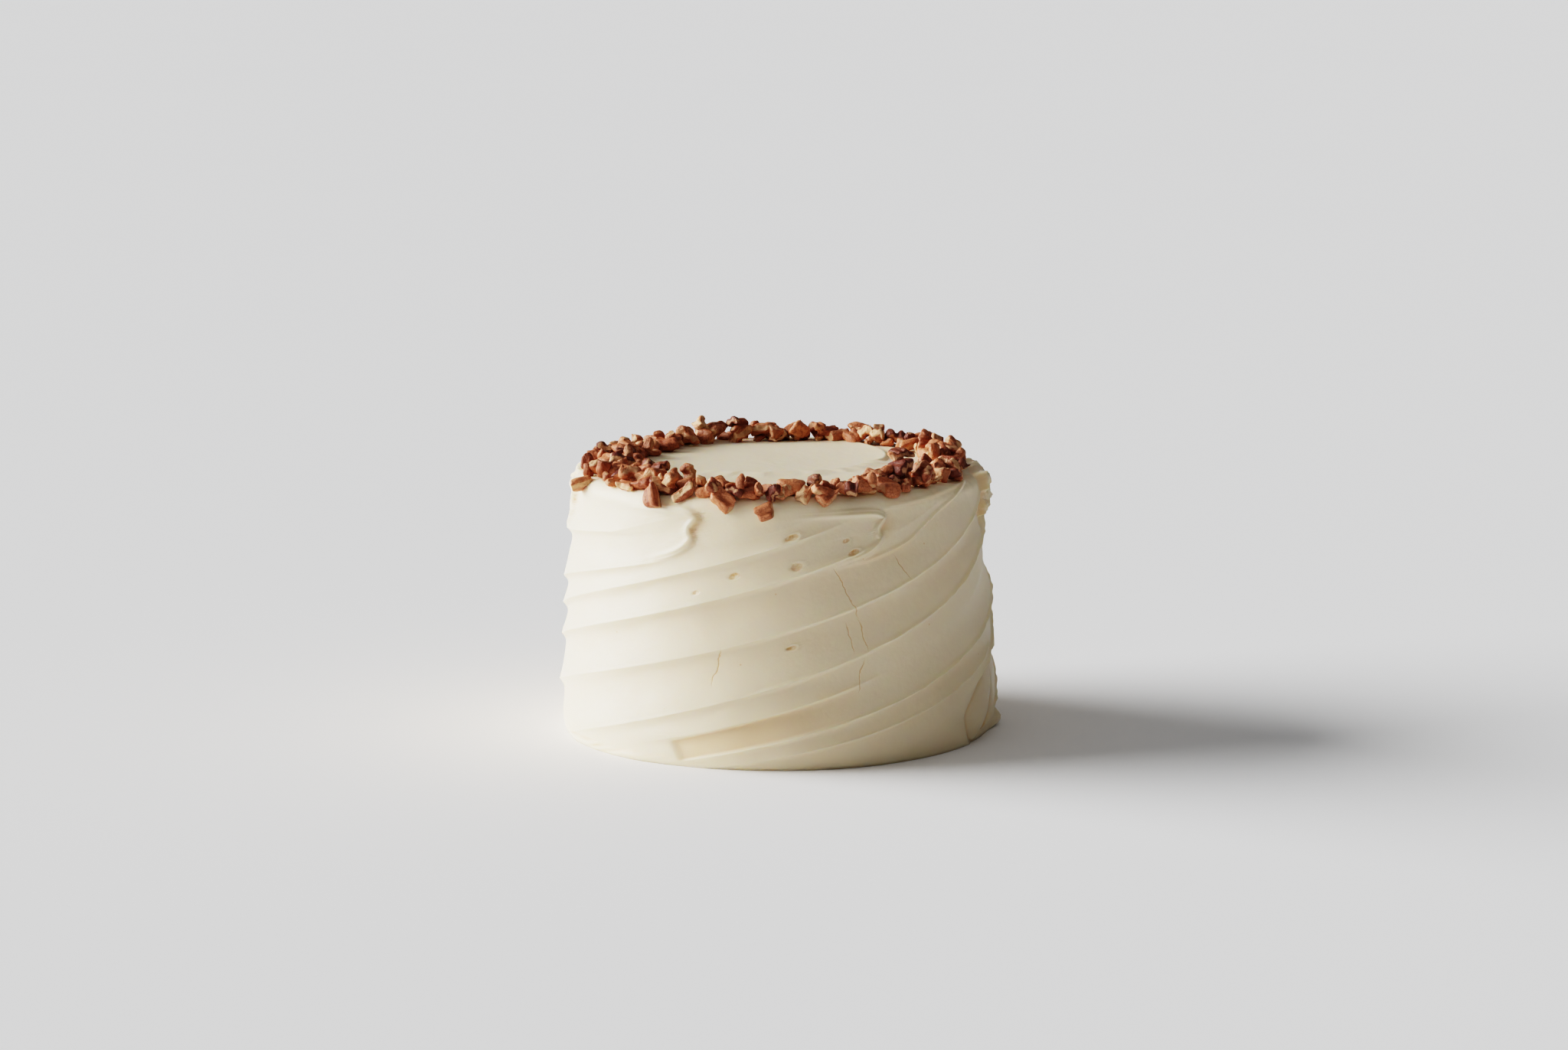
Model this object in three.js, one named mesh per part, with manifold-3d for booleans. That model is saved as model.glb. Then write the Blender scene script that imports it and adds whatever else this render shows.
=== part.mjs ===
// A round hummingbird cake: its layers stand under one coat of cream cheese icing, drawn up by a
// spatula in slanting strokes all round the side, with a ring of chopped pecans on the flat top.
// Millimetres, +Z up. The origin is the middle of the foot and the front of the cake faces -Y.
// Angles round the cake are degrees from the front, positive towards +X.
import * as THREE from "three";
import { ConvexGeometry } from "three/addons/geometries/ConvexGeometry.js";
import { mergeVertices } from "three/addons/utils/BufferGeometryUtils.js";
import Module from "manifold-3d";

// Body of the cake
const CAKE_HEIGHT = 168;
const BELLY_RADIUS = 142;
const TOP_RADIUS = 132.5;
const FOOT_TUCK = 6.5;
const FOOT_HEIGHT = 22;
const SHOULDER_RADIUS = 9;
const SHOULDER_START = CAKE_HEIGHT - SHOULDER_RADIUS;

// Strokes of the spatula: how fast they climb, and how that sways round the cake
const CLIMB_PER_DEGREE = 0.78;
const SWAY = 17;
const SWAY_AT = 15;
const DISH = 0.13;
const DEEPEST_DISH = 4.4;
const DISH_SKEW = 1.5;
const MERGE_DEPTH = 2.6;
const FADE_HEIGHT = 9;
const LEAST_GAP = 5;
const SHOULDER_FADE = 0.6;
const SHOULDER_FADE_HEIGHT = 8;

// Crests between the strokes, from right to left: the height at which each would pass the front, its
// own climb as a share of the common climb, the height from which it has that, how proud it stands, and
// where it starts and fades
const CRESTS = [
  { front: -19, climb: 1.0, knee: 0, ridge: 0.9, from: 20, to: 200 },
  { front: 8.5, climb: 0.7, knee: 0, ridge: 0.4, from: -20, to: 58 },
  { front: 18.5, climb: 0.85, knee: 0, ridge: 1.0, from: -20, to: 200 },
  { front: 36.5, climb: 0.97, knee: 0, ridge: 0.75, from: 16, to: 200 },
  { front: 53, climb: 1.05, knee: 0, ridge: 1.0, from: 8, to: 200 },
  { front: 85, climb: 0.95, knee: 0, ridge: 0.75, from: -20, to: 200 },
  { front: 117, climb: 1.0, knee: 0, ridge: 1.0, from: 58, to: 200 },
  { front: 142, climb: 1.12, knee: 0, ridge: 0.85, from: -20, to: 146 },
  { front: 144, climb: 0.8, knee: 100, ridge: 1.0, from: -20, to: 138 },
  { front: 166, climb: 0.65, knee: 115, ridge: 0.8, from: -20, to: 150 },
  { front: 226, climb: 1.0, knee: 0, ridge: 1.0, from: -20, to: 200 },
];

// Lips that the spatula left where a stroke ends under the shoulder
const HOOK_ANGLES = [-76, -21.5, 30, 87, 138, 190, 238];
const HOOK_HEIGHT = 147.5;
const HOOK_REACH = 20;
const HOOK_RISE = 16;
const HOOK_LEAN = 0.15;
const LIP_START = -105;
const LIP_END = 95;
const LIP_TAPER = 0.7;
const LIP_LIFT = 0.7;
const LIP_WIDTH = 4.8;
const LIP_HEIGHT = 2.8;

// Mesh of the icing
const COLUMN_STEP = 6.1;
const SIDE_ROWS = 31;
const ROW_CROWDING = 0.42;
const SHOULDER_STEPS = 4;
const TOP_RINGS = [0.5];
const LIP_STEPS = 10;
const LIP_SIDES = 5;
const MERGE_TOLERANCE = 1e-4;

// Ring of chopped pecans
const GAP = 0.3;
const LOWER_PECANS = 98;
const UPPER_PECANS = 26;
const UPPER_LIFT = 6;
const UPPER_MARGIN = 9;
const RING_OUTER = 122;
const RING_INNER = 99;
const RING_SWAY = 10;
const RING_NARROW_AT = 140;
const SPREAD_PASSES = 24;
const PECAN_SPACE = 13.5;
const STRAY_SPACE = 19;
const PUSH_SHARE = 0.25;
const PECAN_LENGTH = 15.5;
const PECAN_WIDTHS = [10.5, 13];
const PECAN_HEIGHTS = [9, 11];
const PECAN_SCALES = [0.8, 1.2];
const PECAN_SEAT = 0.42;
const MOST_LEAN = 28;
const LEAST_END = 0.45;
const LEAST_CORNER = 0.9;
const MOST_CORNER = 1.2;
const CORE_EDGE = 2;
const CORE_RIDGE = 8;
const CORE_INSET = 4;
const CORE_STEPS = 48;
const GOLDEN_ANGLE = 137.508;
const GOLDEN_SHARE = 0.754878;

// Numbers behind the repeatable draws, and the use that each draw has
const DRAW_PIECE = 12.9898;
const DRAW_USE = 78.233;
const DRAW_SPREAD = 43758.5453;
const USE = { head: 1, tail: 2, scale: 3, width: 4, height: 5, yaw: 6, lean: 7, corner: 10 };
const FIRST_STRAY = 200;

// Single pecans that lie apart from the ring, on the shoulder
const STRAYS = [
  { name: "pecan_left", angle: -76, radius: 129.5, height: 164.5, size: [14.5, 9.5, 10], yaw: 75, lean: -12 },
  { name: "pecan_wedge", angle: -35.5, radius: 131, height: 167, size: [16.5, 11, 8.5], yaw: 90, lean: 58 },
  { name: "pecan_low", angle: -2.5, radius: 133.5, height: 162, size: [12.5, 10.5, 10], yaw: 60, lean: -30 },
];

const wasm = await Module();
wasm.setup();

const { degToRad, radToDeg, lerp, clamp, smoothstep, euclideanModulo } = THREE.MathUtils;

// A repeatable draw between 0 and 1 for the given piece and use
function draw(piece, use) {
  return euclideanModulo(Math.sin(piece * DRAW_PIECE + use * DRAW_USE) * DRAW_SPREAD, 1);
}

// The point at an angle round the cake, a distance from its axis and a height
function around(angle, radius, height) {
  const turn = degToRad(angle);
  return new THREE.Vector3(radius * Math.sin(turn), -radius * Math.cos(turn), height);
}

// The angle round the cake at which a point lies
function angleOf(point) {
  return radToDeg(Math.atan2(point.x, -point.y));
}

// The angle that a stroke reaches when it has climbed by the given height
function sweep(climb) {
  const turn = climb / CLIMB_PER_DEGREE;
  return turn + SWAY * (Math.cos(degToRad(turn - SWAY_AT)) - Math.cos(degToRad(SWAY_AT)));
}

// The angles of all crests at a height, from right to left, and the first one again a turn later
function crestAngles(height) {
  const angles = CRESTS.map((crest) => {
    const own = clamp(height, crest.knee, crest.to);
    return sweep((own - crest.front) / crest.climb + height - own);
  });
  for (let k = 1; k < angles.length; k++) {
    angles[k] = Math.min(angles[k], angles[k - 1] - LEAST_GAP);
  }
  angles.push(angles[0] - 360);
  return angles;
}

// How far below full crest height the icing lies along a crest
function crestSink(crest, height) {
  const start = smoothstep(height, crest.from - FADE_HEIGHT, crest.from + FADE_HEIGHT);
  const end = 1 - smoothstep(height, crest.to - FADE_HEIGHT, crest.to + FADE_HEIGHT);
  return MERGE_DEPTH * (1 - crest.ridge * start * end);
}

// The radius of the crests at a height: widest at the belly, tucked in at the foot
function crestRadius(height) {
  const side = lerp(BELLY_RADIUS, TOP_RADIUS, height / SHOULDER_START);
  const tuck = Math.max(0, 1 - height / FOOT_HEIGHT);
  return side - FOOT_TUCK * tuck * tuck;
}

// The radius of the icing in one stroke, at a share of the way from its right crest to its left one
function strokeRadius(height, angles, stroke, share) {
  const right = crestSink(CRESTS[stroke], height);
  const left = crestSink(CRESTS[(stroke + 1) % CRESTS.length], height);
  const width = (angles[stroke] - angles[stroke + 1]) * CLIMB_PER_DEGREE;
  const skewed = share ** DISH_SKEW;
  const dish = Math.min(DISH * width, DEEPEST_DISH) * 4 * skewed * (1 - skewed);
  const foot = smoothstep(height, -FOOT_HEIGHT / 2, FOOT_HEIGHT);
  const top = smoothstep(height, SHOULDER_START - SHOULDER_FADE_HEIGHT, CAKE_HEIGHT);
  return crestRadius(height) - foot * (1 - SHOULDER_FADE * top) * (lerp(right, left, share) + dish);
}

// The radius of the icing at any angle and height
function icingRadius(angle, height) {
  const angles = crestAngles(height);
  const turned = angles[0] - euclideanModulo(angles[0] - angle, 360);
  let stroke = 0;
  while (angles[stroke + 1] > turned) {
    stroke++;
  }
  const share = (angles[stroke] - turned) / (angles[stroke] - angles[stroke + 1]);
  return strokeRadius(height, angles, stroke, share);
}

// One ring of points round the side, whose columns follow the crests
function sideRing(height, columns, grow) {
  const angles = crestAngles(height);
  const ring = [];
  columns.forEach((count, stroke) => {
    for (let step = 0; step < count; step++) {
      const share = step / count;
      const angle = lerp(angles[stroke], angles[stroke + 1], share);
      ring.push({ angle, radius: strokeRadius(height, angles, stroke, share) + grow, height });
    }
  });
  return ring;
}

// All rings of the icing from the foot to the top, each with the same number of points
function icingRings(grow) {
  const low = crestAngles(0);
  const high = crestAngles(SHOULDER_START);
  const columns = CRESTS.map((_, k) => {
    const width = (low[k] - low[k + 1] + high[k] - high[k + 1]) / 2;
    return Math.round(width / COLUMN_STEP);
  });
  const rings = [];
  for (let row = 0; row <= SIDE_ROWS; row++) {
    const share = row / SIDE_ROWS;
    const crowded = share - (ROW_CROWDING * Math.sin(2 * Math.PI * share)) / (2 * Math.PI);
    rings.push(sideRing(SHOULDER_START * crowded, columns, grow));
  }
  const edge = rings[rings.length - 1];
  for (let step = 1; step <= SHOULDER_STEPS; step++) {
    const turn = (Math.PI / 2) * (step / SHOULDER_STEPS);
    const inward = SHOULDER_RADIUS * (1 - Math.cos(turn));
    const height = SHOULDER_START + SHOULDER_RADIUS * Math.sin(turn) + grow;
    rings.push(edge.map((point) => ({ angle: point.angle, radius: point.radius - inward, height })));
  }
  const rim = rings[rings.length - 1];
  for (const share of TOP_RINGS) {
    rings.push(rim.map((point) => ({ ...point, radius: point.radius * share })));
  }
  return rings;
}

// A closed geometry from points and triangles
function closedGeometry(points, triangles) {
  const geometry = new THREE.BufferGeometry().setFromPoints(points);
  geometry.setIndex(triangles);
  return geometry;
}

// The coat of icing without its lips
function icingGeometry(grow) {
  const rings = icingRings(grow);
  const count = rings[0].length;
  const points = rings.flat().map((point) => around(point.angle, point.radius, point.height));
  const triangles = [];
  for (let row = 0; row + 1 < rings.length; row++) {
    for (let column = 0; column < count; column++) {
      const low = row * count + column;
      const lowNext = row * count + ((column + 1) % count);
      triangles.push(low, low + count, lowNext + count, low, lowNext + count, lowNext);
    }
  }
  const foot = points.length;
  const top = foot + 1;
  points.push(new THREE.Vector3(0, 0, 0), new THREE.Vector3(0, 0, CAKE_HEIGHT + grow));
  const last = (rings.length - 1) * count;
  for (let column = 0; column < count; column++) {
    const next = (column + 1) % count;
    triangles.push(foot, column, next, top, last + next, last + column);
  }
  return closedGeometry(points, triangles);
}

// One lip: a bead that follows half an oval round the end of a stroke and thins out at both ends
function lipGeometry(hookAngle) {
  const points = [];
  for (let step = 0; step <= LIP_STEPS; step++) {
    const share = step / LIP_STEPS;
    const turn = degToRad(lerp(LIP_START, LIP_END, share));
    const height = HOOK_HEIGHT + HOOK_RISE * Math.sin(turn);
    const back = HOOK_REACH * (1 - Math.cos(turn)) - HOOK_LEAN * HOOK_RISE * Math.sin(turn);
    const angle = hookAngle - radToDeg(back / TOP_RADIUS);
    const swell = Math.sin(Math.PI * share) ** LIP_TAPER;
    const radius = icingRadius(angle, Math.min(height, SHOULDER_START)) + LIP_LIFT * swell;
    const middle = around(angle, radius, height);
    const outward = around(angle, 1, 0);
    const across = around(angle + 90, Math.cos(turn), Math.sin(turn));
    if (step === 0 || step === LIP_STEPS) {
      points.push(middle);
      continue;
    }
    for (let side = 0; side < LIP_SIDES; side++) {
      const round = (2 * Math.PI * side) / LIP_SIDES;
      points.push(
        middle
          .clone()
          .addScaledVector(across, LIP_WIDTH * swell * Math.cos(round))
          .addScaledVector(outward, LIP_HEIGHT * swell * Math.sin(round)),
      );
    }
  }
  const last = points.length - 1;
  const triangles = [];
  for (let side = 0; side < LIP_SIDES; side++) {
    const next = (side + 1) % LIP_SIDES;
    triangles.push(0, 1 + side, 1 + next, last, last - LIP_SIDES + next, last - LIP_SIDES + side);
    for (let step = 0; step + 2 < LIP_STEPS; step++) {
      const low = 1 + step * LIP_SIDES;
      const high = low + LIP_SIDES;
      triangles.push(low + side, high + next, low + next, low + side, high + side, high + next);
    }
  }
  return closedGeometry(points, triangles);
}

// A geometry as a solid that can be joined and cut
function solid(geometry) {
  const bare = geometry.clone();
  bare.deleteAttribute("normal");
  bare.deleteAttribute("uv");
  const merged = mergeVertices(bare, MERGE_TOLERANCE);
  return new wasm.Manifold(
    new wasm.Mesh({
      numProp: 3,
      vertProperties: new Float32Array(merged.attributes.position.array),
      triVerts: new Uint32Array(merged.index.array),
    }),
  );
}

// A joined or cut solid as a geometry again
function geometryOf(body) {
  const mesh = body.getMesh();
  const geometry = new THREE.BufferGeometry();
  geometry.setAttribute("position", new THREE.BufferAttribute(new Float32Array(mesh.vertProperties), 3));
  geometry.setIndex(Array.from(mesh.triVerts));
  geometry.computeVertexNormals();
  return geometry;
}

// The iced cake with its lips; grown by a margin it cuts what lies on it
function icedCake(grow) {
  return HOOK_ANGLES.reduce(
    (body, angle) => body.add(solid(lipGeometry(angle))),
    solid(icingGeometry(grow)),
  );
}

// One chopped pecan: a lump with uneven corners, chopped off flat at both ends
function choppedPecan(piece, [length, width, height]) {
  const round = new THREE.IcosahedronGeometry(1, 0).deleteAttribute("normal").deleteAttribute("uv");
  const lump = mergeVertices(round);
  const head = lerp(LEAST_END, 1, draw(piece, USE.head));
  const tail = lerp(LEAST_END, 1, draw(piece, USE.tail));
  const corners = [];
  for (let k = 0; k < lump.attributes.position.count; k++) {
    const corner = new THREE.Vector3().fromBufferAttribute(lump.attributes.position, k);
    corner.multiplyScalar(lerp(LEAST_CORNER, MOST_CORNER, draw(piece, USE.corner + k)));
    corner.x = clamp(corner.x, -tail, head);
    corners.push(corner.multiply(new THREE.Vector3(length / (head + tail), width / 2, height / 2)));
  }
  return new ConvexGeometry(corners);
}

// A lump set down at its place: turned about its own height, leaned outward and moved there
function placed(geometry, { angle, radius, height, yaw, lean }) {
  const turn = new THREE.Euler(degToRad(lean), 0, degToRad(yaw), "XYZ");
  const place = new THREE.Group();
  place.rotation.z = degToRad(angle);
  const lump = new THREE.Group();
  lump.position.set(0, -radius, height);
  lump.setRotationFromEuler(turn);
  place.add(lump);
  place.updateMatrixWorld(true);
  return geometry.clone().applyMatrix4(lump.matrixWorld);
}

// The inner edge of the ring of pecans: the ring is wider at the left than at the back
function ringInner(angle) {
  return RING_INNER + RING_SWAY * Math.cos(degToRad(angle - RING_NARROW_AT));
}

// Even places over one layer of the ring, pushed apart until the lumps only just touch
function layerPlaces(first, count, margin) {
  const places = [];
  const innermost = RING_INNER - RING_SWAY;
  for (let candidate = first; places.length < count; candidate++) {
    const angle = candidate * GOLDEN_ANGLE;
    const share = euclideanModulo(candidate * GOLDEN_SHARE, 1);
    const radius = Math.sqrt(lerp(innermost ** 2, RING_OUTER ** 2, share));
    if (radius > ringInner(angle)) {
      places.push(around(angle, radius, 0));
    }
  }
  const strays = STRAYS.map((stray) => around(stray.angle, stray.radius, 0));
  for (let pass = 0; pass < SPREAD_PASSES; pass++) {
    const pushes = places.map((one) =>
      pushAway(one, places, PECAN_SPACE).add(pushAway(one, strays, STRAY_SPACE)),
    );
    places.forEach((one, k) => {
      one.add(pushes[k]);
      const angle = angleOf(one);
      one.copy(around(angle, clamp(one.length(), ringInner(angle) + margin, RING_OUTER - margin), 0));
    });
  }
  return places;
}

// How far a lump moves away from all others that are closer than the space it needs
function pushAway(one, others, space) {
  const push = new THREE.Vector3();
  for (const other of others) {
    const away = one.clone().sub(other);
    const distance = away.length();
    if (distance > 0 && distance < space) {
      push.addScaledVector(away, (PUSH_SHARE * (space - distance)) / distance);
    }
  }
  return push;
}

// The size, turn and lean of one lump of the ring
function ringPecan(piece, place, lift) {
  const scale = lerp(...PECAN_SCALES, draw(piece, USE.scale));
  const width = lerp(...PECAN_WIDTHS, draw(piece, USE.width));
  const thickness = lerp(...PECAN_HEIGHTS, draw(piece, USE.height));
  const size = [PECAN_LENGTH * scale, width * scale, thickness * scale];
  return placed(choppedPecan(piece, size), {
    angle: angleOf(place),
    radius: place.length(),
    height: CAKE_HEIGHT + lift + PECAN_SEAT * size[2],
    yaw: 360 * draw(piece, USE.yaw),
    lean: lerp(-MOST_LEAN, MOST_LEAN, draw(piece, USE.lean)),
  });
}

// The low core that the lumps of the ring lie in, highest along its middle
function ringCore() {
  const points = [];
  for (let step = 0; step < CORE_STEPS; step++) {
    const angle = (360 * step) / CORE_STEPS;
    const inner = ringInner(angle) + CORE_INSET;
    const outer = RING_OUTER - CORE_INSET;
    points.push(
      around(angle, inner, CAKE_HEIGHT),
      around(angle, outer, CAKE_HEIGHT),
      around(angle, outer, CAKE_HEIGHT + CORE_EDGE),
      around(angle, (inner + outer) / 2, CAKE_HEIGHT + CORE_RIDGE),
      around(angle, inner, CAKE_HEIGHT + CORE_EDGE),
    );
  }
  const corners = points.length / CORE_STEPS;
  const triangles = [];
  for (let step = 0; step < CORE_STEPS; step++) {
    const here = step * corners;
    const ahead = ((step + 1) % CORE_STEPS) * corners;
    for (let corner = 0; corner < corners; corner++) {
      const next = (corner + 1) % corners;
      triangles.push(here + corner, ahead + corner, ahead + next, here + corner, ahead + next, here + next);
    }
  }
  return closedGeometry(points, triangles);
}

// The whole ring of pecans, cut clear of the icing under it
function pecanRing(cutter) {
  let heap = solid(ringCore());
  layerPlaces(0, LOWER_PECANS, 0).forEach((place, k) => {
    heap = heap.add(solid(ringPecan(k, place, 0)));
  });
  layerPlaces(LOWER_PECANS, UPPER_PECANS, UPPER_MARGIN).forEach((place, k) => {
    heap = heap.add(solid(ringPecan(LOWER_PECANS + k, place, UPPER_LIFT)));
  });
  return heap.subtract(cutter);
}

// Materials
const icing = new THREE.MeshStandardMaterial({ color: 0xf3eedd, roughness: 0.55, metalness: 0 });
const pecan = new THREE.MeshStandardMaterial({ color: 0x9c5c38, roughness: 0.6, metalness: 0 });

function part(name, body, material) {
  const mesh = new THREE.Mesh(geometryOf(body), material);
  mesh.name = name;
  return mesh;
}

const cake = new THREE.Group();
const cutter = icedCake(GAP);
cake.add(part("iced_cake", icedCake(0), icing));
cake.add(part("pecan_ring", pecanRing(cutter), pecan));
STRAYS.forEach((stray, k) => {
  const lump = solid(placed(choppedPecan(FIRST_STRAY + k, stray.size), stray));
  cake.add(part(stray.name, lump.subtract(cutter), pecan));
});

export default cake;
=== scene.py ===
"""Hummingbird cake: spatula-stroked icing, a ring of chopped pecans and a pale studio to show it in."""

import functools
import itertools
import math

import bpy
import numpy as np
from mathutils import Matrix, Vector
from mathutils.bvhtree import BVHTree


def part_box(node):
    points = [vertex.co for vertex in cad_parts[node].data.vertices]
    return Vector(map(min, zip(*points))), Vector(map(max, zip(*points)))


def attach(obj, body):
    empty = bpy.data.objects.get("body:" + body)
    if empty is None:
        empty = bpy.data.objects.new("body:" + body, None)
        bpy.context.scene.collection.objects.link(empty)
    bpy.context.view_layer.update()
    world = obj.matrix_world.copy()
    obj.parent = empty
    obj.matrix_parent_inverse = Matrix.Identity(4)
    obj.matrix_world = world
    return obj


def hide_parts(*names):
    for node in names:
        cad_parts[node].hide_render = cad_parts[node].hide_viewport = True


bl_info = {
    "name": "Hummingbird cake",
    "version": (1, 0, 0),
    "blender": (4, 5, 0),
    "location": "3D View > Sidebar > Cake",
    "description": "Ices a round layer cake with spatula strokes and rings its top with chopped pecans",
    "category": "Add Mesh",
}

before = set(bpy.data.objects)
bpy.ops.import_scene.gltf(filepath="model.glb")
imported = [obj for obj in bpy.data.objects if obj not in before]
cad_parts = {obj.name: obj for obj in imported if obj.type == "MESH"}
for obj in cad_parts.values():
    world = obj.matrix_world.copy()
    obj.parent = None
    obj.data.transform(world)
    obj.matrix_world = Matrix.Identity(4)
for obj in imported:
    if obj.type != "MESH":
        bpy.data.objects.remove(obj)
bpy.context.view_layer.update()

MM = 0.001

# Body of the cake, in millimetres; angles are degrees from the front, positive towards +X
CAKE_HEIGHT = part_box("iced_cake")[1].z / MM
BELLY_RADIUS = 142.0
TOP_RADIUS = 132.5
FOOT_TUCK = 6.5
FOOT_HEIGHT = 22.0
SHOULDER_RADIUS = 9.0
SHOULDER_START = CAKE_HEIGHT - SHOULDER_RADIUS
MM_PER_DEGREE = 2.33

# Mesh of the icing: how its rows crowd, rows over the shoulder and on the top, and rings under the foot
ROW_BEND = 0.95
SHOULDER_ROWS = 10
TOP_ROWS = 20
RIM_BEND = 4
FOOT_RINGS = (0.5, 0.94)
COLUMN_CROWD = 0.6
MERGE_DISTANCE = 0.005
# How far to each side of the front the mesh is finer, in degrees, and each round's reach round a form
FINE_HALF = 100.0
FINE_REACHES = (5.0, 2.4)
# Strength from which a form counts there, and how far inside its outline a tongue's edge lies
FORM_SHOWS = 0.1
TONGUE_SHOWS = 0.15
EDGE_INSET = 0.6

# Strokes of the spatula: how fast they climb, and how that sways round the cake
CLIMB_PER_DEGREE = 0.78
SWAY = 17.0
SWAY_AT = 15.0
# Step and dish of a stroke as shares of its width, and their greatest depths
STEP_SHARE = 0.085
DEEPEST_STEP = 2.2
STEP_BEND = 1.6
DISH_SHARE = 0.075
DEEPEST_DISH = 2.6
DISH_SKEW = 1.4
LEAST_DISH = 0.4
FLAT_SIDE = 0.75
DEEP_SIDE = 1.9
# Where the strokes are deep, their crests crisp and the crests' beads proud: a middle angle, and how far
# from it that begins and is full
DEEP_FROM = (-20.0, 40.0, 105.0)
CRISP_FROM = (-75.0, 35.0, 90.0)
PROUD_FROM = (-50.0, 30.0, 105.0)
SOFT_CREST = 6.0
CRISP_CREST = 1.4
RIGHT_BEAD = 1.2
LEFT_BEAD = 0.9
LEAST_BEAD = 0.15
MERGE_DEPTH = 2.2
FADE_HEIGHT = 9.0
LEAST_GAP = 5.0
SHOULDER_FADE = 0.6
SHOULDER_FADE_HEIGHT = 8.0

# Crests between the strokes from right to left: height in front, own climb, knee, ridge, start and end
CRESTS = (
    (-19.0, 1.0, 0.0, 0.9, 42.0, 200.0),
    (8.5, 0.7, 0.0, 0.8, -20.0, 58.0),
    (18.5, 0.85, 0.0, 1.0, -20.0, 200.0),
    (36.5, 0.97, 0.0, 0.75, 16.0, 52.0),
    (53.0, 1.05, 0.0, 1.0, 8.0, 200.0),
    (85.0, 0.95, 0.0, 0.75, -20.0, 200.0),
    (117.0, 1.0, 0.0, 1.0, 58.0, 133.0),
    (138.5, 1.014, 0.0, 0.85, -20.0, 145.0),
    (144.0, 0.8, 100.0, 1.0, -20.0, 126.0),
    (156.0, 0.475, 115.0, 0.65, -20.0, 140.0),
    (226.0, 1.0, 0.0, 1.0, -20.0, 200.0),
)

# Tongues of icing where a stroke ends under the shoulder: angle of the tip, stretch, lift, how proud the
# lip and the flat of the tongue stand, how deep the icing dips beside the tip, and how wide the edge slopes
TONGUES = (
    (-76.0, 1.0, 2.0, 1.6, 1.0, 1.0, 1.6), (-21.6, 1.0, 0.0, 0.9, 1.4, 0.9, 1.8),
    (30.9, 1.0, -1.0, 2.0, 0.7, 0.7, 1.3), (138.0, 1.1, -2.0, 1.0, 1.6, 1.6, 2.0),
    (190.0, 0.95, 1.0, 2.0, 0.9, 1.0, 1.4), (238.0, 1.05, -1.0, 1.2, 1.6, 1.6, 2.0),
)
# Outline of a tongue from the lower left round the tip to the upper left: run along the side, and height
TONGUE = (
    (-46.0, 122.0), (-30.0, 127.0), (-16.0, 131.5), (-8.0, 136.0), (-4.4, 140.0), (-3.6, 142.8),
    (-4.9, 145.6), (-4.8, 148.7), (-2.4, 151.6), (-0.6, 154.6), (-3.0, 157.6), (-9.0, 159.6),
    (-20.0, 160.2), (-40.0, 159.8), (-70.0, 159.0),
)
# Box round it, as least and greatest run and height, its fade along the outline, and its waist
TONGUE_BOX = (-105.0, 65.0, 100.0, math.inf)
TONGUE_ENDS = (0.0, 0.2, 0.85, 1.0)
TONGUE_WAIST = (0.52, 0.14)
# Its lip, and how far its flat and the trough beside it reach
LIP_INSET = 2.0
LIP_SPREAD = 1.5
FLAT_REACH = 22.0
TROUGH_REACH = 7.0
TROUGH_START = 1.6
LEAST_TROUGH = 0.3
# Warm shade painted beside the tip: its strength, where it starts to fade, over what distance, and its inner
# edge
PAINTED_SHADE_STRENGTH = 0.62
WARM_WIDTH = 1.5
WARM_FADE = 5.0
WARM_EDGE = (-0.6, 1.2)

# Folds that run from a stroke up over the shoulder, to the right of some tongues
FOLD_ANGLES = (30.9, 138.0, 238.0)
# Lines of a lower and an upper fold, as run and height, and how far the bead and the step of each stand out
FOLDS = (
    (((-37.0, 125.0), (-28.0, 126.2), (-12.0, 128.9), (3.0, 133.0), (17.0, 138.0), (29.0, 145.0),
      (46.0, 153.5), (65.0, 160.0), (81.0, 165.5), (95.0, 170.0)), 0.9, 1.3),
    (((-11.0, 158.5), (12.0, 161.0), (32.0, 162.6), (48.0, 164.5), (72.0, 167.0), (95.0, 169.0)), 0.7, 0.5),
)
FOLD_BOX = (-60.0, 130.0, 110.0, math.inf)
FOLD_ENDS = (0.02, 0.4, 0.9, 1.0)
FOLD_BEAD = 1.5
FOLD_REACH = 14.0
FOLD_START = 1.6
FOLD_BARE = 0.3
FOLD_BARE_AT = 1.2

# Leaf-shaped start of a stroke at the right foot, round its tip: run from its angle, and height
LEAF_ANGLE = 65.5
LEAF = (
    (48.0, 63.0), (30.0, 50.6), (12.0, 38.5), (-2.2, 28.8), (-12.0, 21.0), (-12.5, 14.5), (-8.8, 7.1),
    (0.5, 1.0), (7.0, 5.0), (16.0, 12.0), (30.0, 25.0), (46.0, 39.0), (62.0, 54.0),
)
LEAF_BOX = (-45.0, 105.0, -math.inf, 80.0)
LEAF_ENDS = (0.0, 0.25, 0.8, 1.0)
LEAF_HEIGHT = 2.4
LEAF_ROUND = 7.0
LEAF_REACH = 40.0
# Groove round the leaf, as depth and spread of its bottom and of its banks, and the bare line in it
LEAF_GROOVE = (1.3, 1.7)
LEAF_BANKS = (0.9, 5.0)
LEAF_BARE = (0.35, 0.9)
LEAF_BARE_FROM = (0.55, 0.75)
LEAF_BARE_SPREAD = 1.1

# Square start of a stroke at the front foot: its left end, its slanting upper and lower edges, and its depth
SQUARE_LEFT = -28.0
SQUARE_HEIGHT = 16.5
SQUARE_CLIMB = 0.70
SQUARE_SLANT = 0.17
SQUARE_ENDS = (-29.0, -26.0)
SQUARE_FADE = (-10.0, 26.0)
SQUARE_LOW = 18.5
SQUARE_LOW_CLIMB = 0.62
SQUARE_DEPTH = 1.4
SQUARE_BARE = 0.42
SQUARE_EDGE = -27.2
SQUARE_EDGE_HALF = 3.4
SQUARE_EDGE_TOP = 20.0
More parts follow.
